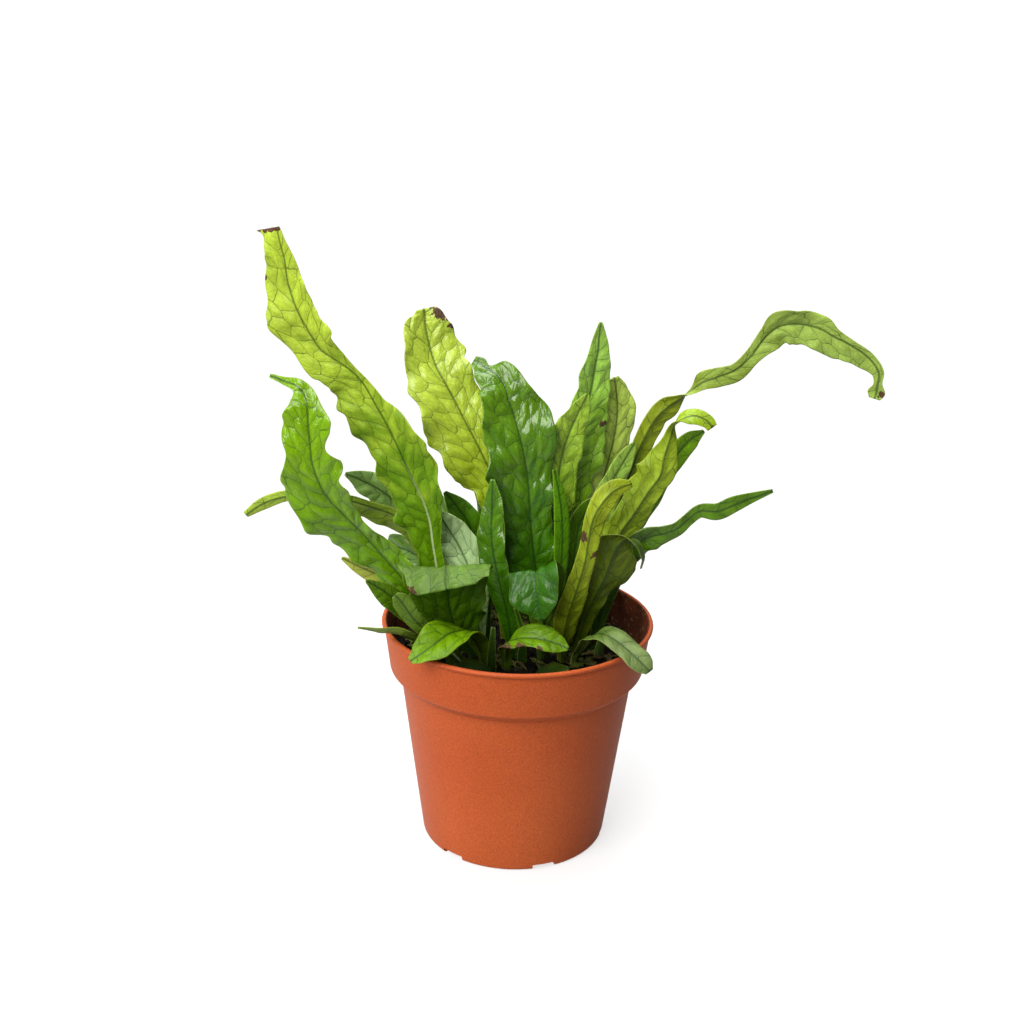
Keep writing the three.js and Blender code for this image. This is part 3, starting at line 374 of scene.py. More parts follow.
        burn=[(0.5, 1, 2.6), (0.62, 1, 2.2), (0.75, 1, 1.6)]), [
        [-4.5, -25.5, 92, 3, 3, 25], [-3.5, -30, 97.5, 4.5, 4.5, 55], [2, -33, 100.5, 6, 6, 75],
        [9.5, -35, 101, 6.6, 6.4, 80], [15.5, -36, 99.5, 4.6, 4.6, 80], [19.5, -37, 98, 0.8, 0.8, 80]]),
    low_shoot_left=frond((-9, -32), 90, look("dark", (44, 58, 14), (56, 72, 20)), [
        [-13, -34, 88, 2.5], [-19, -36, 90, 3.5], [-25, -36, 88, 0.8]]),
    low_shoot_right=frond((7, -31), 250, look("olive", (48, 60, 18), (60, 76, 24)), [
        [10, -35, 88, 2.5], [14, -37, 90, 3.5], [20, -37, 90, 0.8]]),
    rim_leaf_right=frond((23, -15), 210, look("pale", (78, 108, 24), (112, 132, 74), rough=0.4), [
        [27, -21.5, 93, 4], [29.5, -26.5, 99.5, 5, 5, 12], [33, -31, 102, 4.8, 4.8, 22],
        [38, -35.5, 101, 4.8, 4.8, 28], [43.5, -40, 98, 5, 5, 28], [48, -43.5, 94.8, 4.2, 4.2, 28],
        [50, -45, 93, 1.8, 1.8, 28]]),
    tiny_right=frond((33, -9), 180, look("dark", (56, 86, 34), (74, 104, 58)), [
        [35, -10, 91, 2], [41, -11, 93, 2.4], [45, -12, 92, 0.8]]),
    shoot_center=frond((2, -15), 0, look("middle", (60, 96, 14), (74, 112, 22)), [
        [2, -16, 95, 1.3], [-1, -17, 106, 0.8]]),
    shoot_front=frond((-10, -26), 0, look("olive", (50, 70, 20), (64, 84, 30)), [
        [-9.8, -27, 95, 1.4], [-9.4, -27.6, 102, 0.8]]),
    back_left=frond((-16, 20), -20, look("middle", (80, 120, 8), (110, 148, 30), rough=0.26, shine=0.45), [
        [-26, 31, 106, 6], [-36, 44, 122, 9], [-44, 58, 127, 9], [-50, 74, 120, 6], [-53, 84, 110, 0.9]]),
    back_center=frond((-4, 24), 0, look("dark", (64, 104, 2), (90, 132, 30), rough=0.2, shine=0.5), [
        [-8, 34, 120, 7], [-12, 46, 150, 11], [-14, 60, 163, 11], [-14, 74, 160, 8], [-13, 88, 146, 0.9]]),
    back_right=frond((10, 24), 10, look("middle", (74, 112, 4), (108, 148, 24), rough=0.24, shine=0.45), [
        [14, 34, 115, 6.5], [20, 46, 142, 10], [26, 60, 154, 10], [30, 74, 150, 7], [32, 86, 138, 0.9]]),
    back_right_low=frond((24, 27), 30, look("fresh", (116, 148, 12), (150, 176, 40), rough=0.3), [
        [30, 35, 106, 5], [38, 46, 124, 8], [44, 60, 130, 7], [49, 76, 122, 0.9]]),
    back_center_low=frond((0, 31), 0, look("fresh", (124, 154, 14), (156, 180, 40), rough=0.3), [
        [2, 42, 106, 6], [4, 56, 120, 9], [5, 70, 120, 8], [5, 84, 108, 0.9]]),
    back_left_low=frond((-25, 20), -30, look("dark", (68, 104, 4), (88, 128, 20), rough=0.22, shine=0.45), [
        [-33, 27, 98, 5], [-43, 36, 106, 7], [-53, 45, 107, 6], [-61, 54, 99, 0.9]]),
    back_right_rim=frond((31, 21), 45, look("pale", (130, 152, 44), (150, 170, 76), rough=0.38), [
        [38, 28, 97, 4], [44, 38, 103, 5.5], [48, 52, 99, 0.9]]),
    back_left_rim=frond((-17, 29), -10, look("olive", (96, 116, 26), (120, 140, 46)), [
        [-23, 38, 98, 4], [-27, 50, 104, 5.5], [-29, 64, 97, 0.9]]),
)


# ---- node trees ----
class Nodes:
    """Short ways to add nodes to a tree. A value that is a socket is linked, and others are set."""

    def __init__(self, tree):
        self.tree = tree

    def put(self, socket, value):
        if isinstance(value, bpy.types.NodeSocket):
            self.tree.links.new(value, socket)
        elif value is not None:
            socket.default_value = value

    def add(self, kind, inputs=(), **settings):
        node = self.tree.nodes.new(kind)
        for key, value in settings.items():
            setattr(node, key, value)
        for key, value in dict(inputs).items():
            self.put(node.inputs[key], value)
        return node

    def math(self, operation, a, b=None, clamp=False):
        node = self.add("ShaderNodeMath", operation=operation, use_clamp=clamp)
        for socket, value in zip(node.inputs, (a, b)):
            self.put(socket, value)
        return node.outputs[0]

    def times(self, a, b):
        return self.math("MULTIPLY", a, b)

    def plus(self, a, b):
        return self.math("ADD", a, b)

    def minus(self, a, b):
        return self.math("SUBTRACT", a, b)

    def vector(self, operation, a, b):
        return self.add("ShaderNodeVectorMath", {0: a, 1: b}, operation=operation).outputs[0]

    def ramp(self, value, low, high, start=0.0, end=1.0):
        """Goes smoothly from start to end as value goes from low to high."""
        node = self.add("ShaderNodeMapRange", interpolation_type="SMOOTHSTEP")
        for key, number in zip(("Value", "From Min", "From Max", "To Min", "To Max"),
                               (value, low, high, start, end)):
            self.put(node.inputs[key], number)
        return node.outputs[0]

    def spread(self, noise, start=0.0, end=1.0):
        """A noise stretched from start to end."""
        return self.ramp(noise, *NOISE_SPAN, start, end)

    def mix(self, share, a, b, blend="MIX"):
        """Two colours mixed."""
        node = self.add("ShaderNodeMix", {0: share, 6: a, 7: b}, data_type="RGBA", blend_type=blend)
        return node.outputs[2]

    def between(self, share, a, b):
        """Two numbers mixed."""
        return self.add("ShaderNodeMix", {0: share, 2: a, 3: b}, data_type="FLOAT").outputs[0]

    def lit(self, colour, light):
        """A colour made lighter or darker by a factor."""
        grey = self.add("ShaderNodeCombineColor", {0: light, 1: light, 2: light}).outputs[0]
        return self.mix(1.0, colour, grey, "MULTIPLY")

    def noise(self, place, name):
        scale, detail, rough = NOISES[name]
        inputs = {"Vector": place, "Scale": scale, "Detail": detail, "Roughness": rough}
        return self.add("ShaderNodeTexNoise", inputs).outputs[0]

    def parts(self, vector):
        node = self.add("ShaderNodeSeparateXYZ", {"Vector": vector})
        return node.outputs[0], node.outputs[1], node.outputs[2]

    def attribute(self, name):
        return self.add("ShaderNodeAttribute", attribute_name=name).outputs["Vector"]

    def place(self):
        return self.add("ShaderNodeTexCoord").outputs["Object"]

    def bump(self, shader, height, strength, depth):
        """Fine relief, with its depth in millimetres."""
        node = self.add("ShaderNodeBump", {"Height": height, "Strength": strength, "Distance": depth * MM})
        self.put(shader.inputs["Normal"], node.outputs[0])


def net_distance(nodes, place, along=CELL_ALONG, across=CELL_ACROSS, randomness=NET_RANDOMNESS):
    """Distance to the nearest vein, in cells. place is (mm along, mm across, 0) on the blade.

    The relief of the mesh and the colour of the veins both come from this one pattern.
    """
    bend = nodes.add("ShaderNodeTexNoise", {"Vector": place, "Scale": NET_BEND["scale"], "Detail": 1.0})
    bend = nodes.vector("SUBTRACT", bend.outputs["Color"], (0.5, 0.5, 0.5))
    bend = nodes.vector("MULTIPLY", bend, (NET_BEND["reach"], NET_BEND["reach"], 0.0))
    moved = nodes.vector("ADD", place, bend)
    cells = nodes.vector("MULTIPLY", moved, (1 / along, 1 / across, 0.0))
    net = nodes.add("ShaderNodeTexVoronoi", {"Vector": cells, "Scale": 1.0, "Randomness": randomness},
                    voronoi_dimensions="2D", feature="DISTANCE_TO_EDGE")
    return net.outputs["Distance"]


def read_net(places):
    """The net's distance at each (mm along, mm across) place, read through a geometry tree."""
    tree = bpy.data.node_groups.new("net_reader", "GeometryNodeTree")
    for way in ("INPUT", "OUTPUT"):
        tree.interface.new_socket("Geometry", in_out=way, socket_type="NodeSocketGeometry")
    nodes = Nodes(tree)
    start, end = nodes.add("NodeGroupInput"), nodes.add("NodeGroupOutput")
    position = nodes.add("GeometryNodeInputPosition").outputs[0]
    store = nodes.add("GeometryNodeStoreNamedAttribute", data_type="FLOAT", domain="POINT")
    nodes.put(store.inputs["Geometry"], start.outputs[0])
    nodes.put(store.inputs["Name"], "net")
    nodes.put(store.inputs["Value"], net_distance(nodes, position))
    nodes.put(end.inputs[0], store.outputs[0])

    mesh = bpy.data.meshes.new("net_reader")
    mesh.vertices.add(len(places))
    flat = np.zeros((len(places), 3), np.float32)
    flat[:, :2] = places
    mesh.vertices.foreach_set("co", flat.ravel())
    reader = bpy.data.objects.new("net_reader", mesh)
    bpy.context.scene.collection.objects.link(reader)
    reader.modifiers.new("net", "NODES").node_group = tree
    result = reader.evaluated_get(bpy.context.evaluated_depsgraph_get()).data
    values = np.zeros(len(places), np.float32)
    result.attributes["net"].data.foreach_get("value", values)
    bpy.data.objects.remove(reader)
    bpy.data.meshes.remove(mesh)
    bpy.data.node_groups.remove(tree)
    return values


# ---- meshes ----
def new_object(name, vertices, faces, material=None, attributes=None):
    """vertices are in millimetres, and each attribute holds a vector for each of them."""
    mesh = bpy.data.meshes.new(name)
    mesh.from_pydata((np.asarray(vertices, float) * MM).tolist(), [],
                     [list(map(int, f)) for f in faces])
    mesh.polygons.foreach_set("use_smooth", [True] * len(mesh.polygons))
    for key, values in (attributes or {}).items():
        layer = mesh.attributes.new(key, "FLOAT_VECTOR", "POINT")
        layer.data.foreach_set("vector", np.asarray(values, np.float32).ravel())
    if material:
        mesh.materials.append(material)
    thing = bpy.data.objects.new(name, mesh)
    bpy.context.scene.collection.objects.link(thing)
    return thing


def dress(piece, slot, *nodes):
    """The piece rides on the part and stands for its CAD nodes, which it hides. slot is not used."""
    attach(piece, "root")
    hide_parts(*nodes)


def new_material(name):
    material = bpy.data.materials.new(name)
    material.use_nodes = True
    return material, Nodes(material.node_tree), material.node_tree.nodes["Principled BSDF"]


# ---- one frond ----
class Spine:
    """The midrib of a frond as evenly spaced samples with place, directions and half-widths."""

    def __init__(self, frond):
        x, y = frond.foot
        foot = [[x, y, z, FOOT_HALF_WIDTH, FOOT_HALF_WIDTH, 0] for z in (ROOT_Z, COLLAR_OF_STALK_Z)]
        stations = np.array(foot + frond.stations, float)
        steps = np.linalg.norm(np.diff(stations[:, :3], axis=0), axis=1)
        lengths = np.concatenate([[0], np.cumsum(steps)])
        self.length = lengths[-1]
        last = len(stations) - 1
        before = np.maximum(np.arange(last + 1) - 1, 0)
        after = np.minimum(np.arange(last + 1) + 1, last)
        slopes = (stations[after] - stations[before]) / (lengths[after] - lengths[before])[:, None]

        distance = np.linspace(0, self.length, SPINE_SAMPLES + 1)
        k = np.clip(np.searchsorted(lengths, distance) - 1, 0, last - 1)
        span = (lengths[k + 1] - lengths[k])[:, None]
        u = (distance[:, None] - lengths[k][:, None]) / span
        a, b = stations[k], stations[k + 1]
        curve = a + u * u * (3 - 2 * u) * (b - a)
        curve += span * u * (1 - u) * ((1 - u) * slopes[k] - u * slopes[k + 1])
        self.places, self.widths = curve[:, :3], curve[:, 3:5]

        facing = math.radians(frond.faces)
        up = np.array([math.sin(facing), -math.cos(facing), 0])
        along = np.gradient(self.places, axis=0)
        along /= np.linalg.norm(along, axis=1)[:, None]
        ups = []
        for direction in along:
            up = up - direction * up.dot(direction)
            up /= np.linalg.norm(up)
            ups.append(up)
        ups = np.array(ups)
        turn = np.radians(curve[:, 5])[:, None]
        self.up = ups * np.cos(turn) + np.cross(along, ups) * np.sin(turn)
        self.across = np.cross(along, self.up)

    def read(self, values, share):
        """values at each share of the length, read between the samples."""
        position = np.clip(share, 0, 1) * SPINE_SAMPLES
        k = np.minimum(position.astype(int), SPINE_SAMPLES - 1)
        u = position - k
        if values.ndim > 1:
            u = u[..., None]
        return values[k] * (1 - u) + values[k + 1] * u

    def half_width(self, share, side):
        """The half-width on the point's own side of the midrib."""
        left, right = (self.read(self.widths[:, i], share) for i in (0, 1))
        return np.where(side < 0, left, right)


def ragged_outline(distance, side, phase):
    """How the half-width comes and goes along the edge, as a factor."""
    shift = phase + np.where(side < 0, 1.9, 0)
    waves = np.sin(distance / 2.9 + shift) + 0.8 * np.sin(distance / 1.7 + 2.3 * shift)
    notch = np.maximum(np.sin(distance / 3.6 + 3.1 * shift), 0) ** 8
    return 1 + RAGGED * (waves - 1.6 * notch)


class Blade:
    """The grid of points on one frond, before its relief is read."""

    def __init__(self, frond, number):
        self.phase = 1.7 * number
        self.line = line = Spine(frond)
        rows = math.ceil(line.length / GRID)
        half = max(math.ceil(line.widths.max() / GRID), 4)
        step = np.linspace(-1, 1, 2 * half + 1)
        columns = step * (0.8 + 0.2 * abs(step))
        share, side = np.meshgrid(np.linspace(0, 1, rows + 1), columns, indexing="ij")
        reach = abs(side)
        fade = smooth(0, 0.2, share) * (1 - smooth(0.75, 1, share))
        shifted = share + VEIN_LEAN * reach * line.half_width(share, side) * fade / line.length
        width = line.half_width(shifted, side)
        grown = smooth(*GROWN, width)
        distance = shifted * line.length
        width = width * (1 + (ragged_outline(distance, side, self.phase) - 1) * grown)
        self.share, self.side, self.reach, self.shifted = share, side, reach, shifted
        self.width, self.grown, self.distance = width, grown, distance
        along = share * line.length - NET_LEAN * reach * width + NET_SHIFT * number
        self.net_places = np.stack([along, side * width], axis=-1)
        self.camber = frond.camber

    def surfaces(self, net):
        """Upper and lower points, from the net's distance at each point of the grid."""
        line, share, side, reach = self.line, self.share, self.side, self.reach
        width, grown, distance = self.width, self.grown, self.distance
        across = reach * width
        turned = self.phase + np.where(side < 0, 2.2, 0)
        wave = np.sin(2 * math.pi * distance / WAVE_LENGTH + turned)
        ruffle = np.sin(2 * math.pi * distance / RUFFLE["length"] + 2.3 * turned)
        rise = width * (self.camber * reach + WAVE_SHARE * reach ** 2 * wave)
        rise += RUFFLE["height"] * reach ** 3 * ruffle
        pucker = PUCKER * smooth(0, PUCKER_TOP, net) * smooth(*PUCKER_START, across) * (1 - reach ** 6)
        groove = GROOVE_DEPTH * np.exp(-(across / GROOVE_WIDTH) ** 2)
        rise = (rise + pucker - groove) * grown

        stalk = 1 - smooth(*STALK_END, share)
        blade = EDGE_THICKNESS + (BLADE_THICKNESS - EDGE_THICKNESS) * (1 - reach ** 4)
        rib = RIB_HEIGHT * (1 - 0.8 * share) * np.exp(-(across / RIB_WIDTH) ** 2)
        round_part = STALK_THICKNESS * np.sqrt(1 - np.minimum(reach, 0.995) ** 2) * stalk
        thickness = blade + rib + round_part
        up = line.read(line.up, self.shifted)
        place = line.read(line.places, self.shifted)
        place = place + line.read(line.across, self.shifted) * (side * width)[..., None]
        top = place + up * (rise + stalk * thickness / 2)[..., None]
        return top, top - up * thickness[..., None]


def closed_grid(rows, columns):
    """Faces of a closed sheet: an upper grid, a lower one and the walls between them."""
    across = columns + 1
    layer = across * (rows + 1)
    i, j = np.meshgrid(np.arange(rows), np.arange(columns), indexing="ij")
    a = (i * across + j).ravel()
    top = np.stack([a, a + 1, a + across + 1, a + across], axis=1)
    bottom = top[:, ::-1] + layer
    left = np.arange(rows) * across
    right = left + columns
    walls = [np.stack([left, left + across, left + across + layer, left + layer], axis=1),
             np.stack([right, right + layer, right + across + layer, right + across], axis=1)]
    foot = np.arange(columns)
    tip = foot + rows * across
    walls += [np.stack([foot, foot + layer, foot + 1 + layer, foot + 1], axis=1),
              np.stack([tip, tip + 1, tip + 1 + layer, tip + layer], axis=1)]
    return np.concatenate([top, bottom, *walls])


def burnt_spots(nodes, look, line, place, share, side):
    """How burnt each place is, or None where the frond has no burnt spot."""
    burnt = None
    for at, where, radius in look.burn:
        half_width = float(line.read(line.widths[:, int(where > 0)], np.array(at)))
        ahead = nodes.times(nodes.minus(share, at), line.length)
        aside = nodes.times(nodes.minus(side, where), half_width)
        far = nodes.math("SQRT", nodes.plus(nodes.times(ahead, ahead), nodes.times(aside, aside)))
        ragged = nodes.times(nodes.minus(nodes.noise(place, "burnt edge"), 0.5), BURN_RAGGED * radius)
        near, end = (share_of_radius * radius for share_of_radius in BURN_FADE)
        spot = nodes.ramp(nodes.plus(far, ragged), near, end, 1, 0)
        burnt = spot if burnt is None else nodes.math("MAXIMUM", burnt, spot)
    return burnt


def blade_colour(nodes, look, toward_tip, under):
    """The green of both sides, before light, veins and spots."""
    upper = nodes.mix(nodes.ramp(toward_tip, *UPPER_FADE), leaf_colour(look.low), leaf_colour(look.high))
    shaded = blended(look.under, UNDER_SHADE, UNDER_SHADE_SHARE)
    lower = nodes.mix(nodes.ramp(toward_tip, *UNDER_FADE), leaf_colour(shaded), leaf_colour(look.under))
    return nodes.mix(under, upper, lower)


def frond_material(name, look, line):
    """Read from two point attributes: leaf is (mm along, mm across, share of the length),
    and form is (mm from the edge, 1 on the underside, place across from -1 to 1)."""
    material, nodes, shader = new_material("leaf_" + name)
    along, across, share = nodes.parts(nodes.attribute("leaf"))
    margin, under, side = nodes.parts(nodes.attribute("form"))
    place = nodes.add("ShaderNodeCombineXYZ", {"X": along, "Y": across}).outputs[0]
    mottle = nodes.noise(place, "mottle")

    net = net_distance(nodes, place)
    small_net = net_distance(nodes, place, CELL_ALONG * SMALL_NET, CELL_ACROSS * SMALL_NET, 1.0)
    strength = nodes.ramp(nodes.noise(place, "vein strength"), 0.35, 0.6, *VEIN_STRENGTH)
    vein = nodes.times(nodes.ramp(net, *VEIN_FADE, 1, 0), strength)
    small_vein = nodes.ramp(small_net, *SMALL_VEIN_FADE, 1, 0)
    middle = nodes.ramp(nodes.math("ABSOLUTE", across), *RIB_FADE, 1, 0)

    toward_tip = nodes.plus(share, nodes.times(nodes.minus(mottle, 0.5), MOTTLE_REACH))
    colour = blade_colour(nodes, look, toward_tip, under)
    height_up = nodes.parts(nodes.place())[2]
    shade_top = (SOIL_Z + SOIL_SHADE["height"]) * MM
    # light holds random mottle and the fine veins, with painted shade and light on the cushions and painted
    # shade near the soil
    light = nodes.spread(mottle, *MOTTLE_LIGHT)
    for factor in (nodes.ramp(net, 0.0, CUSHION_TOP, *CUSHION_LIGHT),
                   nodes.spread(nodes.noise(place, "fine mottle"), *FINE_MOTTLE_LIGHT),
                   nodes.minus(1.0, nodes.times(small_vein, SMALL_VEIN_DARK)),
                   nodes.ramp(height_up, SOIL_Z * MM, shade_top, SOIL_SHADE["light"], 1)):
        light = nodes.times(light, factor)
    colour = nodes.lit(colour, light)

    dark = nodes.mix(VEIN_DARK_SHARE, colour, linear(VEIN_DARK))
    colour = nodes.mix(nodes.times(vein, VEIN_SHARE), colour, dark)
    rib = nodes.mix(nodes.ramp(share, *PALE_RIB_END), linear(look.rib), dark) if look.rib else dark
    colour = nodes.mix(nodes.times(middle, RIB_SHARE), colour, rib)
    edge = nodes.ramp(margin, *MARGIN_FADE, look.edge, 0)
    colour = nodes.mix(edge, colour, linear(blended(look.high, MARGIN_TINT, 0.5)))

    rough = nodes.spread(nodes.noise(place, "gloss"), *(look.rough + more for more in GLOSS_VARIES))
    rough = nodes.plus(rough, nodes.times(vein, VEIN_ROUGHER))
    rough = nodes.between(under, rough, UNDER_ROUGHNESS)
    burnt = burnt_spots(nodes, look, line, place, share, side)
    if burnt is not None:
        brown = nodes.spread(nodes.noise(place, "burnt brown"))
        colour = nodes.mix(burnt, colour, nodes.mix(brown, *map(linear, BURNT)))
        rough = nodes.between(burnt, rough, BURNT_ROUGHNESS)
    nodes.put(shader.inputs["Base Color"], colour)
    nodes.put(shader.inputs["Roughness"], rough)
    nodes.put(shader.inputs["Specular IOR Level"], look.shine)

    grain = nodes.times(nodes.noise(place, "blade grain"), 0.35)
    relief = nodes.plus(nodes.ramp(small_net, 0.0, 0.3), grain)
    relief = nodes.plus(relief, nodes.ramp(net, 0.0, 0.1, -0.8, 0))
    nodes.bump(shader, relief, *BLADE_BUMP)
    return material


def add_fronds():
    blades = [Blade(frond, number) for number, frond in enumerate(FRONDS.values())]
    net = read_net(np.concatenate([blade.net_places.reshape(-1, 2) for blade in blades]))
    for (name, frond), blade in zip(FRONDS.items(), blades):
        own, net = np.split(net, [blade.share.size])
        shape = blade.share.shape
        vertices = np.concatenate([points.reshape(-1, 3) for points in blade.surfaces(own.reshape(shape))])
        leaf = np.dstack([blade.net_places, blade.share]).reshape(-1, 3)
        margin = blade.width * (1 - blade.reach)
        form = [np.dstack([margin, np.full(shape, under), blade.side]).reshape(-1, 3) for under in (0, 1)]
        thing = new_object("fern_" + name, vertices, closed_grid(shape[0] - 1, shape[1] - 1),
                           frond_material(name, frond.look, blade.line),
                           {"leaf": np.tile(leaf, (2, 1)), "form": np.concatenate(form)})
        dress(thing, frond.look.slot, name)


# ---- pot ----
def arc(radius_at, z_at, size, start, end, count):
    """Points [radius, z] of an arc about (radius_at, z_at), from start to end in degrees."""
    angles = np.radians(np.linspace(start, end, count))
    return [[radius_at + size * math.cos(t), z_at + size * math.sin(t)] for t in angles]


def body_radius(z):
    return BASE_RADIUS + (SHOULDER_RADIUS - BASE_RADIUS) * z / SHOULDER_Z


def inner_radius(z):
    outside = np.interp(z, [0, SHOULDER_Z, COLLAR_BOTTOM_Z, POT_HEIGHT],
                        [BASE_RADIUS, SHOULDER_RADIUS, COLLAR_BOTTOM_RADIUS, COLLAR_TOP_RADIUS])
    return float(outside) - WALL


def circle(sides):
    """Angles of evenly spaced corners."""
    return np.linspace(0, 2 * math.pi, sides, endpoint=False)


def turned(profile, sides):
    """A closed solid turned about the axis from [radius, z] points that start and end on it."""
    ring = np.array(profile[1:-1], float)
    vertices = [[0, 0, profile[0][1]], [0, 0, profile[-1][1]]]
    for t in circle(sides):
        vertices += [[r * math.cos(t), r * math.sin(t), z] for r, z in ring]
    count = len(ring)
    faces = []
    for i in range(sides):
        a, b = 2 + i * count, 2 + (i + 1) % sides * count
        faces.append([0, b, a])
        faces += [[a + k, b + k, b + k + 1, a + k + 1] for k in range(count - 1)]
        faces.append([a + count - 1, b + count - 1, 1])
    return np.array(vertices), faces


def cut(thing, cutters):
    """Takes the cutters out of thing, and removes them."""
    for cutter in cutters:
        step = thing.modifiers.new("cut", "BOOLEAN")
        step.operation, step.solver, step.object = "DIFFERENCE", "EXACT", cutter
    bpy.context.view_layer.update()
    result = thing.evaluated_get(bpy.context.evaluated_depsgraph_get())
    mesh = bpy.data.meshes.new_from_object(result)
    thing.modifiers.clear()
    thing.data = mesh
    for cutter in cutters:
        bpy.data.objects.remove(cutter)


def box_cutter(width, depth, height, radius, degrees):
    """A box across the standing ring, as wide as a notch, that reaches height above the floor."""
    x, y, z = depth / 2, width / 2, height
    corners = [[sx * x + radius, sy * y, sz * z] for sx in (-1, 1) for sy in (-1, 1) for sz in (-1, 1)]
    faces = [[0, 1, 3, 2], [4, 6, 7, 5], [0, 4, 5, 1], [2, 3, 7, 6], [0, 2, 6, 4], [1, 5, 7, 3]]
    spin = np.array(Matrix.Rotation(math.radians(degrees), 3, "Z"))
    return new_object("cutter", np.array(corners) @ spin.T, faces)


def hole_cutter(radius, ring, degrees):
    """An upright cylinder through the pot's floor."""
    sides, bottom, top = DRAINS["sides"], -FLOOR_Z, 3 * FLOOR_Z
    x0, y0 = ring * math.cos(math.radians(degrees)), ring * math.sin(math.radians(degrees))
    loop = [[x0 + radius * math.cos(t), y0 + radius * math.sin(t)] for t in circle(sides)]
    vertices = [[x, y, z] for z in (bottom, top) for x, y in loop]
    faces = [[i, (i + 1) % sides, sides + (i + 1) % sides, sides + i] for i in range(sides)]
    faces += [list(range(sides))[::-1], list(range(sides, 2 * sides))]
    return new_object("cutter", vertices, faces)


def pot_material(is_inside):
    """Moulded plastic with a fine grain. Inside it, earth clings to the wall, and its dark film is partly
    painted shade.
    """
    material, nodes, shader = new_material("pot_inside" if is_inside else "pot_outside")
    place = nodes.place()
    tone, grain = nodes.noise(place, "pot tone"), nodes.noise(place, "pot grain")
    colour = nodes.mix(nodes.spread(tone), *map(linear, POT_COLOURS))
    colour = nodes.lit(colour, nodes.spread(grain, *POT_GRAIN_LIGHT))
    rough, relief = nodes.spread(tone, *POT_ROUGHNESS), grain
    if is_inside:
        height_up = nodes.parts(place)[2]
        # painted shade and dirt: a dark earth film over almost all of the inside wall
        depth = nodes.ramp(height_up, (SOIL_Z + 2) * MM, (POT_HEIGHT - 0.5) * MM, 1, 0.95)
        wall_dirt_and_shade = nodes.times(depth, nodes.ramp(nodes.noise(place, "wall dirt and shade"), 0.35, 0.65, 0.88, 1.0))
        colour = nodes.mix(wall_dirt_and_shade, colour, linear(WALL_DIRT_AND_SHADE))
        crumbs = nodes.ramp(nodes.noise(place, "earth crumbs"), 0.57, 0.66)
        colour = nodes.mix(nodes.times(crumbs, 0.7), colour, linear(EARTH_CRUMBS))
        rough = nodes.math("ADD", rough, nodes.times(wall_dirt_and_shade, 0.35), clamp=True)
        relief = nodes.plus(grain, nodes.times(crumbs, 2.0))
    else:
        scuff = nodes.ramp(nodes.noise(place, "scuffs"), 0.7, 0.76)
        patch = nodes.ramp(nodes.noise(place, "scuffed patches"), 0.55, 0.7, 0, 0.5)
        colour = nodes.mix(nodes.times(scuff, patch), colour, linear(SCUFF_COLOUR))
    nodes.put(shader.inputs["Base Color"], colour)
    nodes.put(shader.inputs["Roughness"], rough)
    nodes.put(shader.inputs["Specular IOR Level"], POT_SHINE)
    nodes.bump(shader, relief, *POT_BUMP)
    return material


def pot_profile():
    """The pot's outside and its inside as [radius, z] points, each from the bottom or the lip."""
    bead, lip, base, heel, collar = ROUNDINGS.values()
    lip_radius = COLLAR_TOP_RADIUS - WALL + LIP_FLARE
    slope = math.degrees(math.atan2(SHOULDER_RADIUS - BASE_RADIUS, SHOULDER_Z))
    outside = [[0, 0], [DISC_RADIUS - base, 0]]
    outside += arc(DISC_RADIUS - base, base, base, -90, 0, 4)[1:]
    outside += [[DISC_RADIUS + 1, CHANNEL_HEIGHT], [RING_INNER_RADIUS - 1, CHANNEL_HEIGHT]]
    outside += arc(RING_INNER_RADIUS + base, base, base, 180, 270, 4)
    outside += arc(BASE_RADIUS - 1.8, heel, heel, -90, -slope, 7)
    outside += [[body_radius(z), z] for z in (12, 24, 36, 48, 60, SHOULDER_Z - 1.2)]
    outside += [[SHOULDER_RADIUS + out, SHOULDER_Z + up] for out, up in ((0, 0), SHOULDER_STEP)]
    outside += arc(COLLAR_BOTTOM_RADIUS - collar, COLLAR_BOTTOM_Z, collar, -45, -5, 5)
    outside += [[COLLAR_TOP_RADIUS - 0.15, POT_HEIGHT - 6], [COLLAR_TOP_RADIUS, POT_HEIGHT - 2.1]]
    outside += arc(RIM_RADIUS - bead, POT_HEIGHT - bead, bead, -60, 90, 10)
    inside = arc(lip_radius + lip, POT_HEIGHT - lip, lip, 90, 180, 5)
    inside += [[inner_radius(z), z] for z in (POT_HEIGHT - 4, POT_HEIGHT - 8, COLLAR_BOTTOM_Z, SHOULDER_Z)]
    foot = body_radius(FLOOR_Z) - WALL
    inside += [[foot, FLOOR_Z + 1], [foot - 1, FLOOR_Z], [0, FLOOR_Z]]
    return outside, inside


def around(count, first_degrees):
    """Degrees of evenly spaced places about the axis."""
    return [first_degrees + i * (360 / count) for i in range(count)]


def add_pot():
    outside, inside = pot_profile()
    pot = new_object("nursery_pot", *turned(outside + inside, POT_SIDES), pot_material(False))
    pot.data.materials.append(pot_material(True))
    faces_a_side = len(outside) + len(inside) - 1
    is_inside = np.arange(len(pot.data.polygons)) % faces_a_side >= len(outside)
    pot.data.polygons.foreach_set("material_index", is_inside.astype(np.int32))
    cutters = [box_cutter(NOTCHES["width"], NOTCHES["depth"], NOTCHES["height"], BASE_RADIUS - 1, degrees)
               for degrees in around(NOTCHES["count"], NOTCHES["first_degrees"])]
    cutters += [hole_cutter(DRAINS["radius"], DRAINS["ring"], degrees)
                for degrees in around(DRAINS["count"], DRAINS["first_degrees"])]
    cut(pot, cutters)
    for polygon in pot.data.polygons:
        polygon.use_smooth = True
    pot.data.set_sharp_from_angle(angle=math.radians(40))
    dress(pot, "pot", "pot")


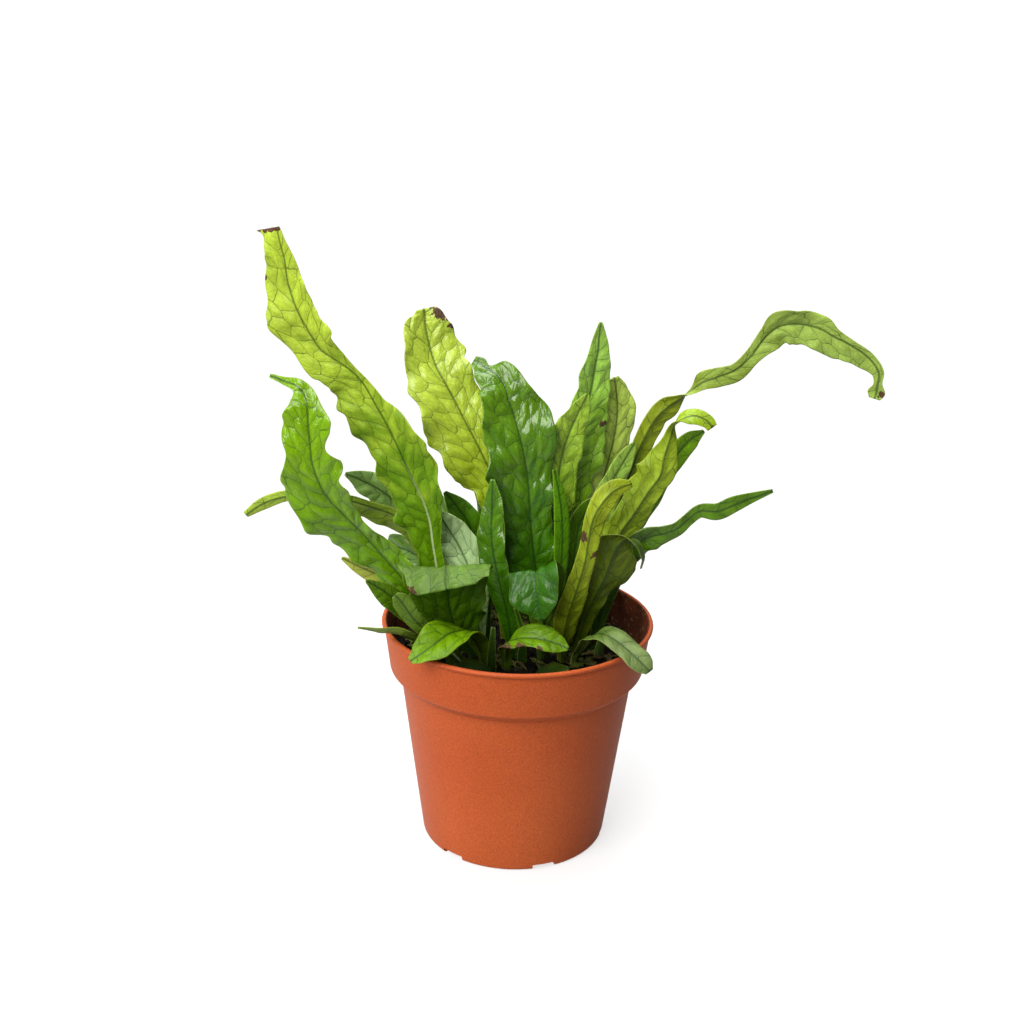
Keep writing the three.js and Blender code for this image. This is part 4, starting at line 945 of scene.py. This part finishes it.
# ---- soil ----
def soil_top(x, y):
    """Height of the mound and its lumps, without the fine roughness."""
    reach = np.hypot(x, y) / inner_radius(SOIL_Z)
    lumps = 0.7 * np.sin(0.31 * x + 0.9) * np.cos(0.27 * y) + 0.4 * np.sin(0.63 * y + 0.4 * x)
    return SOIL_Z + SOIL_MOUND * (1 - reach * reach) + lumps


def soil_material():
    """Dark earth with flecks and moss. The litter attribute is (1 on a flake, its tone, 0)."""
    material, nodes, shader = new_material("potting_soil")
    place = nodes.place()
    coarse, fine = nodes.noise(place, "coarse soil"), nodes.noise(place, "fine soil")
    colour = nodes.mix(nodes.spread(coarse), *map(linear, SOIL_COLOURS))
    colour = nodes.mix(nodes.ramp(fine, 0.62, 0.74, 0, 0.35), colour, linear(SOIL_FLECKS))
    moss = nodes.ramp(nodes.noise(place, "moss"), 0.5, 0.62, 0, 0.6)
    colour = nodes.mix(moss, colour, linear(MOSS_COLOUR))
    is_flake, tone, _ = nodes.parts(nodes.attribute("litter"))
    dead = nodes.mix(tone, linear(DEAD_BROWN), linear(DEAD_GREEN))
    dead = nodes.mix(nodes.ramp(coarse, 0.35, 0.65, 0, 0.6), dead, linear(DEAD_SHADE))
    nodes.put(shader.inputs["Base Color"], nodes.mix(is_flake, colour, dead))
    nodes.put(shader.inputs["Roughness"], nodes.spread(fine, *SOIL_ROUGHNESS))
    nodes.put(shader.inputs["Specular IOR Level"], SOIL_SHINE)
    nodes.bump(shader, nodes.plus(coarse, nodes.times(fine, 0.5)), *SOIL_BUMP)
    return material


def soil_body(rim):
    """The filled body, with a rough top of many rings."""
    profile = [[0, FLOOR_Z + GAP], [body_radius(FLOOR_Z) - WALL - 1.2, FLOOR_Z + GAP],
               [SHOULDER_RADIUS - WALL - GAP, SHOULDER_Z], [rim, COLLAR_BOTTOM_Z + GAP]]
    profile += [[rim * i / SOIL_RINGS, SOIL_Z] for i in range(SOIL_RINGS, -1, -1)]
    vertices, faces = turned(profile, SOIL_SIDES)
    on_top = vertices[:, 2] > SOIL_Z - 0.01
    x, y = vertices[on_top, 0], vertices[on_top, 1]
    rough = 0.35 * np.sin(1.9 * x + 1.3 * np.sin(1.1 * y)) * np.sin(1.7 * y + np.sin(1.4 * x))
    rough += 0.2 * np.sin(4.1 * x + 2.2 * y) * np.sin(3.7 * y - 1.9 * x)
    vertices[on_top, 2] = soil_top(x, y) + rough
    return vertices, faces


def unit_ball():
    bm = bmesh.new()
    bmesh.ops.create_icosphere(bm, subdivisions=1, radius=1)
    vertices = np.array([v.co for v in bm.verts])
    faces = np.array([[v.index for v in f.verts] for f in bm.faces])
    bm.free()
    return vertices, faces


def crumb(draw, rim, ball):
    """A lump of earth, half sunk in the soil. Returns its points."""
    angle, reach = draw.uniform(0, 2 * math.pi), rim * math.sqrt(draw.uniform(0, 1)) * 0.98
    x, y = reach * math.cos(angle), reach * math.sin(angle)
    size = draw.uniform(*CRUMB_SIZE) + (draw.uniform() < BIG_CRUMBS) * draw.uniform(*BIG_CRUMB_MORE)
    stretch = size * draw.uniform(0.6, 1.3, 3)
    lump = ball * (1 + draw.uniform(-0.25, 0.25, (len(ball), 1))) * stretch
    spin = np.array(Matrix.Rotation(draw.uniform(0, math.pi), 3, Vector(draw.normal(size=3))))
    return lump @ spin.T + [x, y, soil_top(x, y) + 0.25 * size]


def flake(draw, rim):
    """A dead bit of frond that lies on the soil, as a thin bent sheet. Returns its points."""
    length, width = draw.uniform(*FLAKE_LENGTH), draw.uniform(*FLAKE_WIDTH)
    rows, columns = FLAKE_GRID
    u, v = np.meshgrid(np.linspace(-1, 1, rows + 1), np.linspace(-1, 1, columns + 1), indexing="ij")
    bend, cup, twist = draw.uniform(0.02, 0.2), draw.uniform(-0.5, 0.5), draw.uniform(-0.5, 0.5)
    x, y = u * length / 2, v * width / 2 * (1 - 0.9 * abs(u) ** 1.5)
    z = length * bend * (1 - u * u) + width * cup * v * v + twist * width * u * v
    y += draw.uniform(-0.12, 0.12, y.shape) * width
    z += draw.uniform(-0.08, 0.08, z.shape) * width
    top = np.stack([x, y, z], axis=-1).reshape(-1, 3)
    points = np.concatenate([top, top - [0, 0, FLAKE_THICKNESS]])
    tilt = Matrix.Rotation(draw.uniform(-0.35, 0.35), 3, "X")
    spin = Matrix.Rotation(draw.uniform(0, 2 * math.pi), 3, "Z")
    angle, reach = draw.uniform(0, 2 * math.pi), (rim - length / 2 - 1) * math.sqrt(draw.uniform(0.1, 1))
    at_x, at_y = reach * math.cos(angle), reach * math.sin(angle)
    return points @ np.array(spin @ tilt).T + [at_x, at_y, soil_top(at_x, at_y) + FLAKE_LIFT]


def add_soil():
    """The filled body with a rough top, loose crumbs half sunk in it and dead bits of frond."""
    draw = np.random.default_rng(seed=11)
    rim = inner_radius(SOIL_Z) - GAP
    vertices, faces = soil_body(rim)
    blocks, litter, count = [vertices], [np.zeros((len(vertices), 3))], len(vertices)
    ball, ball_faces = unit_ball()
    flake_faces = closed_grid(*FLAKE_GRID)
    loose = [(crumb(draw, rim, ball), ball_faces, (0, 0, 0)) for _ in range(CRUMBS)]
    loose += [(flake(draw, rim), flake_faces, (1, draw.uniform(), 0)) for _ in range(FLAKES)]
    for points, own_faces, look in loose:
        blocks.append(points)
        litter.append(np.tile(look, (len(points), 1)))
        faces += (own_faces + count).tolist()
        count += len(points)
    soil = new_object("potting_soil", np.concatenate(blocks), faces, soil_material(),
                      {"litter": np.concatenate(litter)})
    dress(soil, "soil", "soil")


# ---- stage, light and camera ----
def add_stage():
    """A pale floor that fades into the white of the studio."""
    radius, sides = 0.8, 96
    corners = [[radius * math.cos(t), radius * math.sin(t), 0] for t in circle(sides)]
    material, nodes, shader = new_material("pale_floor")
    place = nodes.place()
    colour = nodes.mix(nodes.noise(place, "floor"), *map(linear, FLOOR_COLOURS))
    nodes.put(shader.inputs["Base Color"], colour)
    nodes.put(shader.inputs["Roughness"], 0.9)
    distance = nodes.add("ShaderNodeVectorMath", {0: place}, operation="LENGTH").outputs["Value"]
    nodes.put(shader.inputs["Alpha"], nodes.ramp(distance, *FLOOR_FADE, FLOOR_ALPHA, 0))
    new_object("floor", np.array(corners) / MM, [list(range(sides))], material)


def add_lamp(name, place, size, watts, colour):
    light = bpy.data.lights.new(name, "AREA")
    light.shape, light.size = "SQUARE", size
    light.energy, light.color = watts, colour
    lamp = bpy.data.objects.new(name, light)
    lamp.location = place
    lamp.rotation_euler = (Vector(LAMPS_AIM) - Vector(place)).to_track_quat("-Z", "Y").to_euler()
    bpy.context.scene.collection.objects.link(lamp)


def add_lights():
    """A white backdrop, a softbox in front on the left, one overhead, and a darker right side."""
    world = bpy.data.worlds.new("studio")
    bpy.context.scene.world = world
    world.use_nodes = True
    nodes = Nodes(world.node_tree)
    right, ahead, height = nodes.parts(nodes.add("ShaderNodeTexCoord").outputs["Generated"])
    walls = nodes.ramp(ahead, -0.2, 0.7, *WALLS)
    room = nodes.plus(walls, nodes.ramp(height, 0.4, 0.9, 0.0, CEILING))
    below = nodes.ramp(ahead, -0.4, 0.6, *GROUND)
    light = nodes.between(nodes.ramp(height, -0.02, 0.02), below, room)
    light = nodes.times(light, nodes.ramp(right, -0.2, 0.75, 1.0, RIGHT_SIDE))
    seen = nodes.add("ShaderNodeLightPath").outputs["Is Camera Ray"]
    background = world.node_tree.nodes["Background"]
    nodes.put(background.inputs["Color"], (1, 1, 1, 1))
    nodes.put(background.inputs["Strength"], nodes.between(seen, light, BACKDROP))
    for name, lamp in LAMPS.items():
        add_lamp(name, **lamp)


def add_camera():
    """The lens and the place were matched to the pot in the photograph."""
    camera_data = bpy.data.cameras.new("camera")
    camera_data.lens, camera_data.sensor_width, camera_data.clip_start = 50, 36, 0.01
    camera = bpy.data.objects.new("camera", camera_data)
    down, roll = math.radians(CAMERA_DOWN), math.radians(CAMERA_ROLL)
    forward = Vector((0, math.cos(down), -math.sin(down)))
    level_right, level_up = Vector((1, 0, 0)), Vector((0, math.sin(down), math.cos(down)))
    right = level_right * math.cos(roll) + level_up * math.sin(roll)
    up = level_up * math.cos(roll) - level_right * math.sin(roll)
    camera.matrix_world = Matrix((right, up, -forward)).transposed().to_4x4()
    camera.location = CAMERA_PLACE
    bpy.context.scene.collection.objects.link(camera)
    bpy.context.scene.camera = camera


add_camera()
add_lights()
add_stage()
add_pot()
add_soil()
add_fronds()
bpy.context.scene.view_settings.view_transform = "Standard"
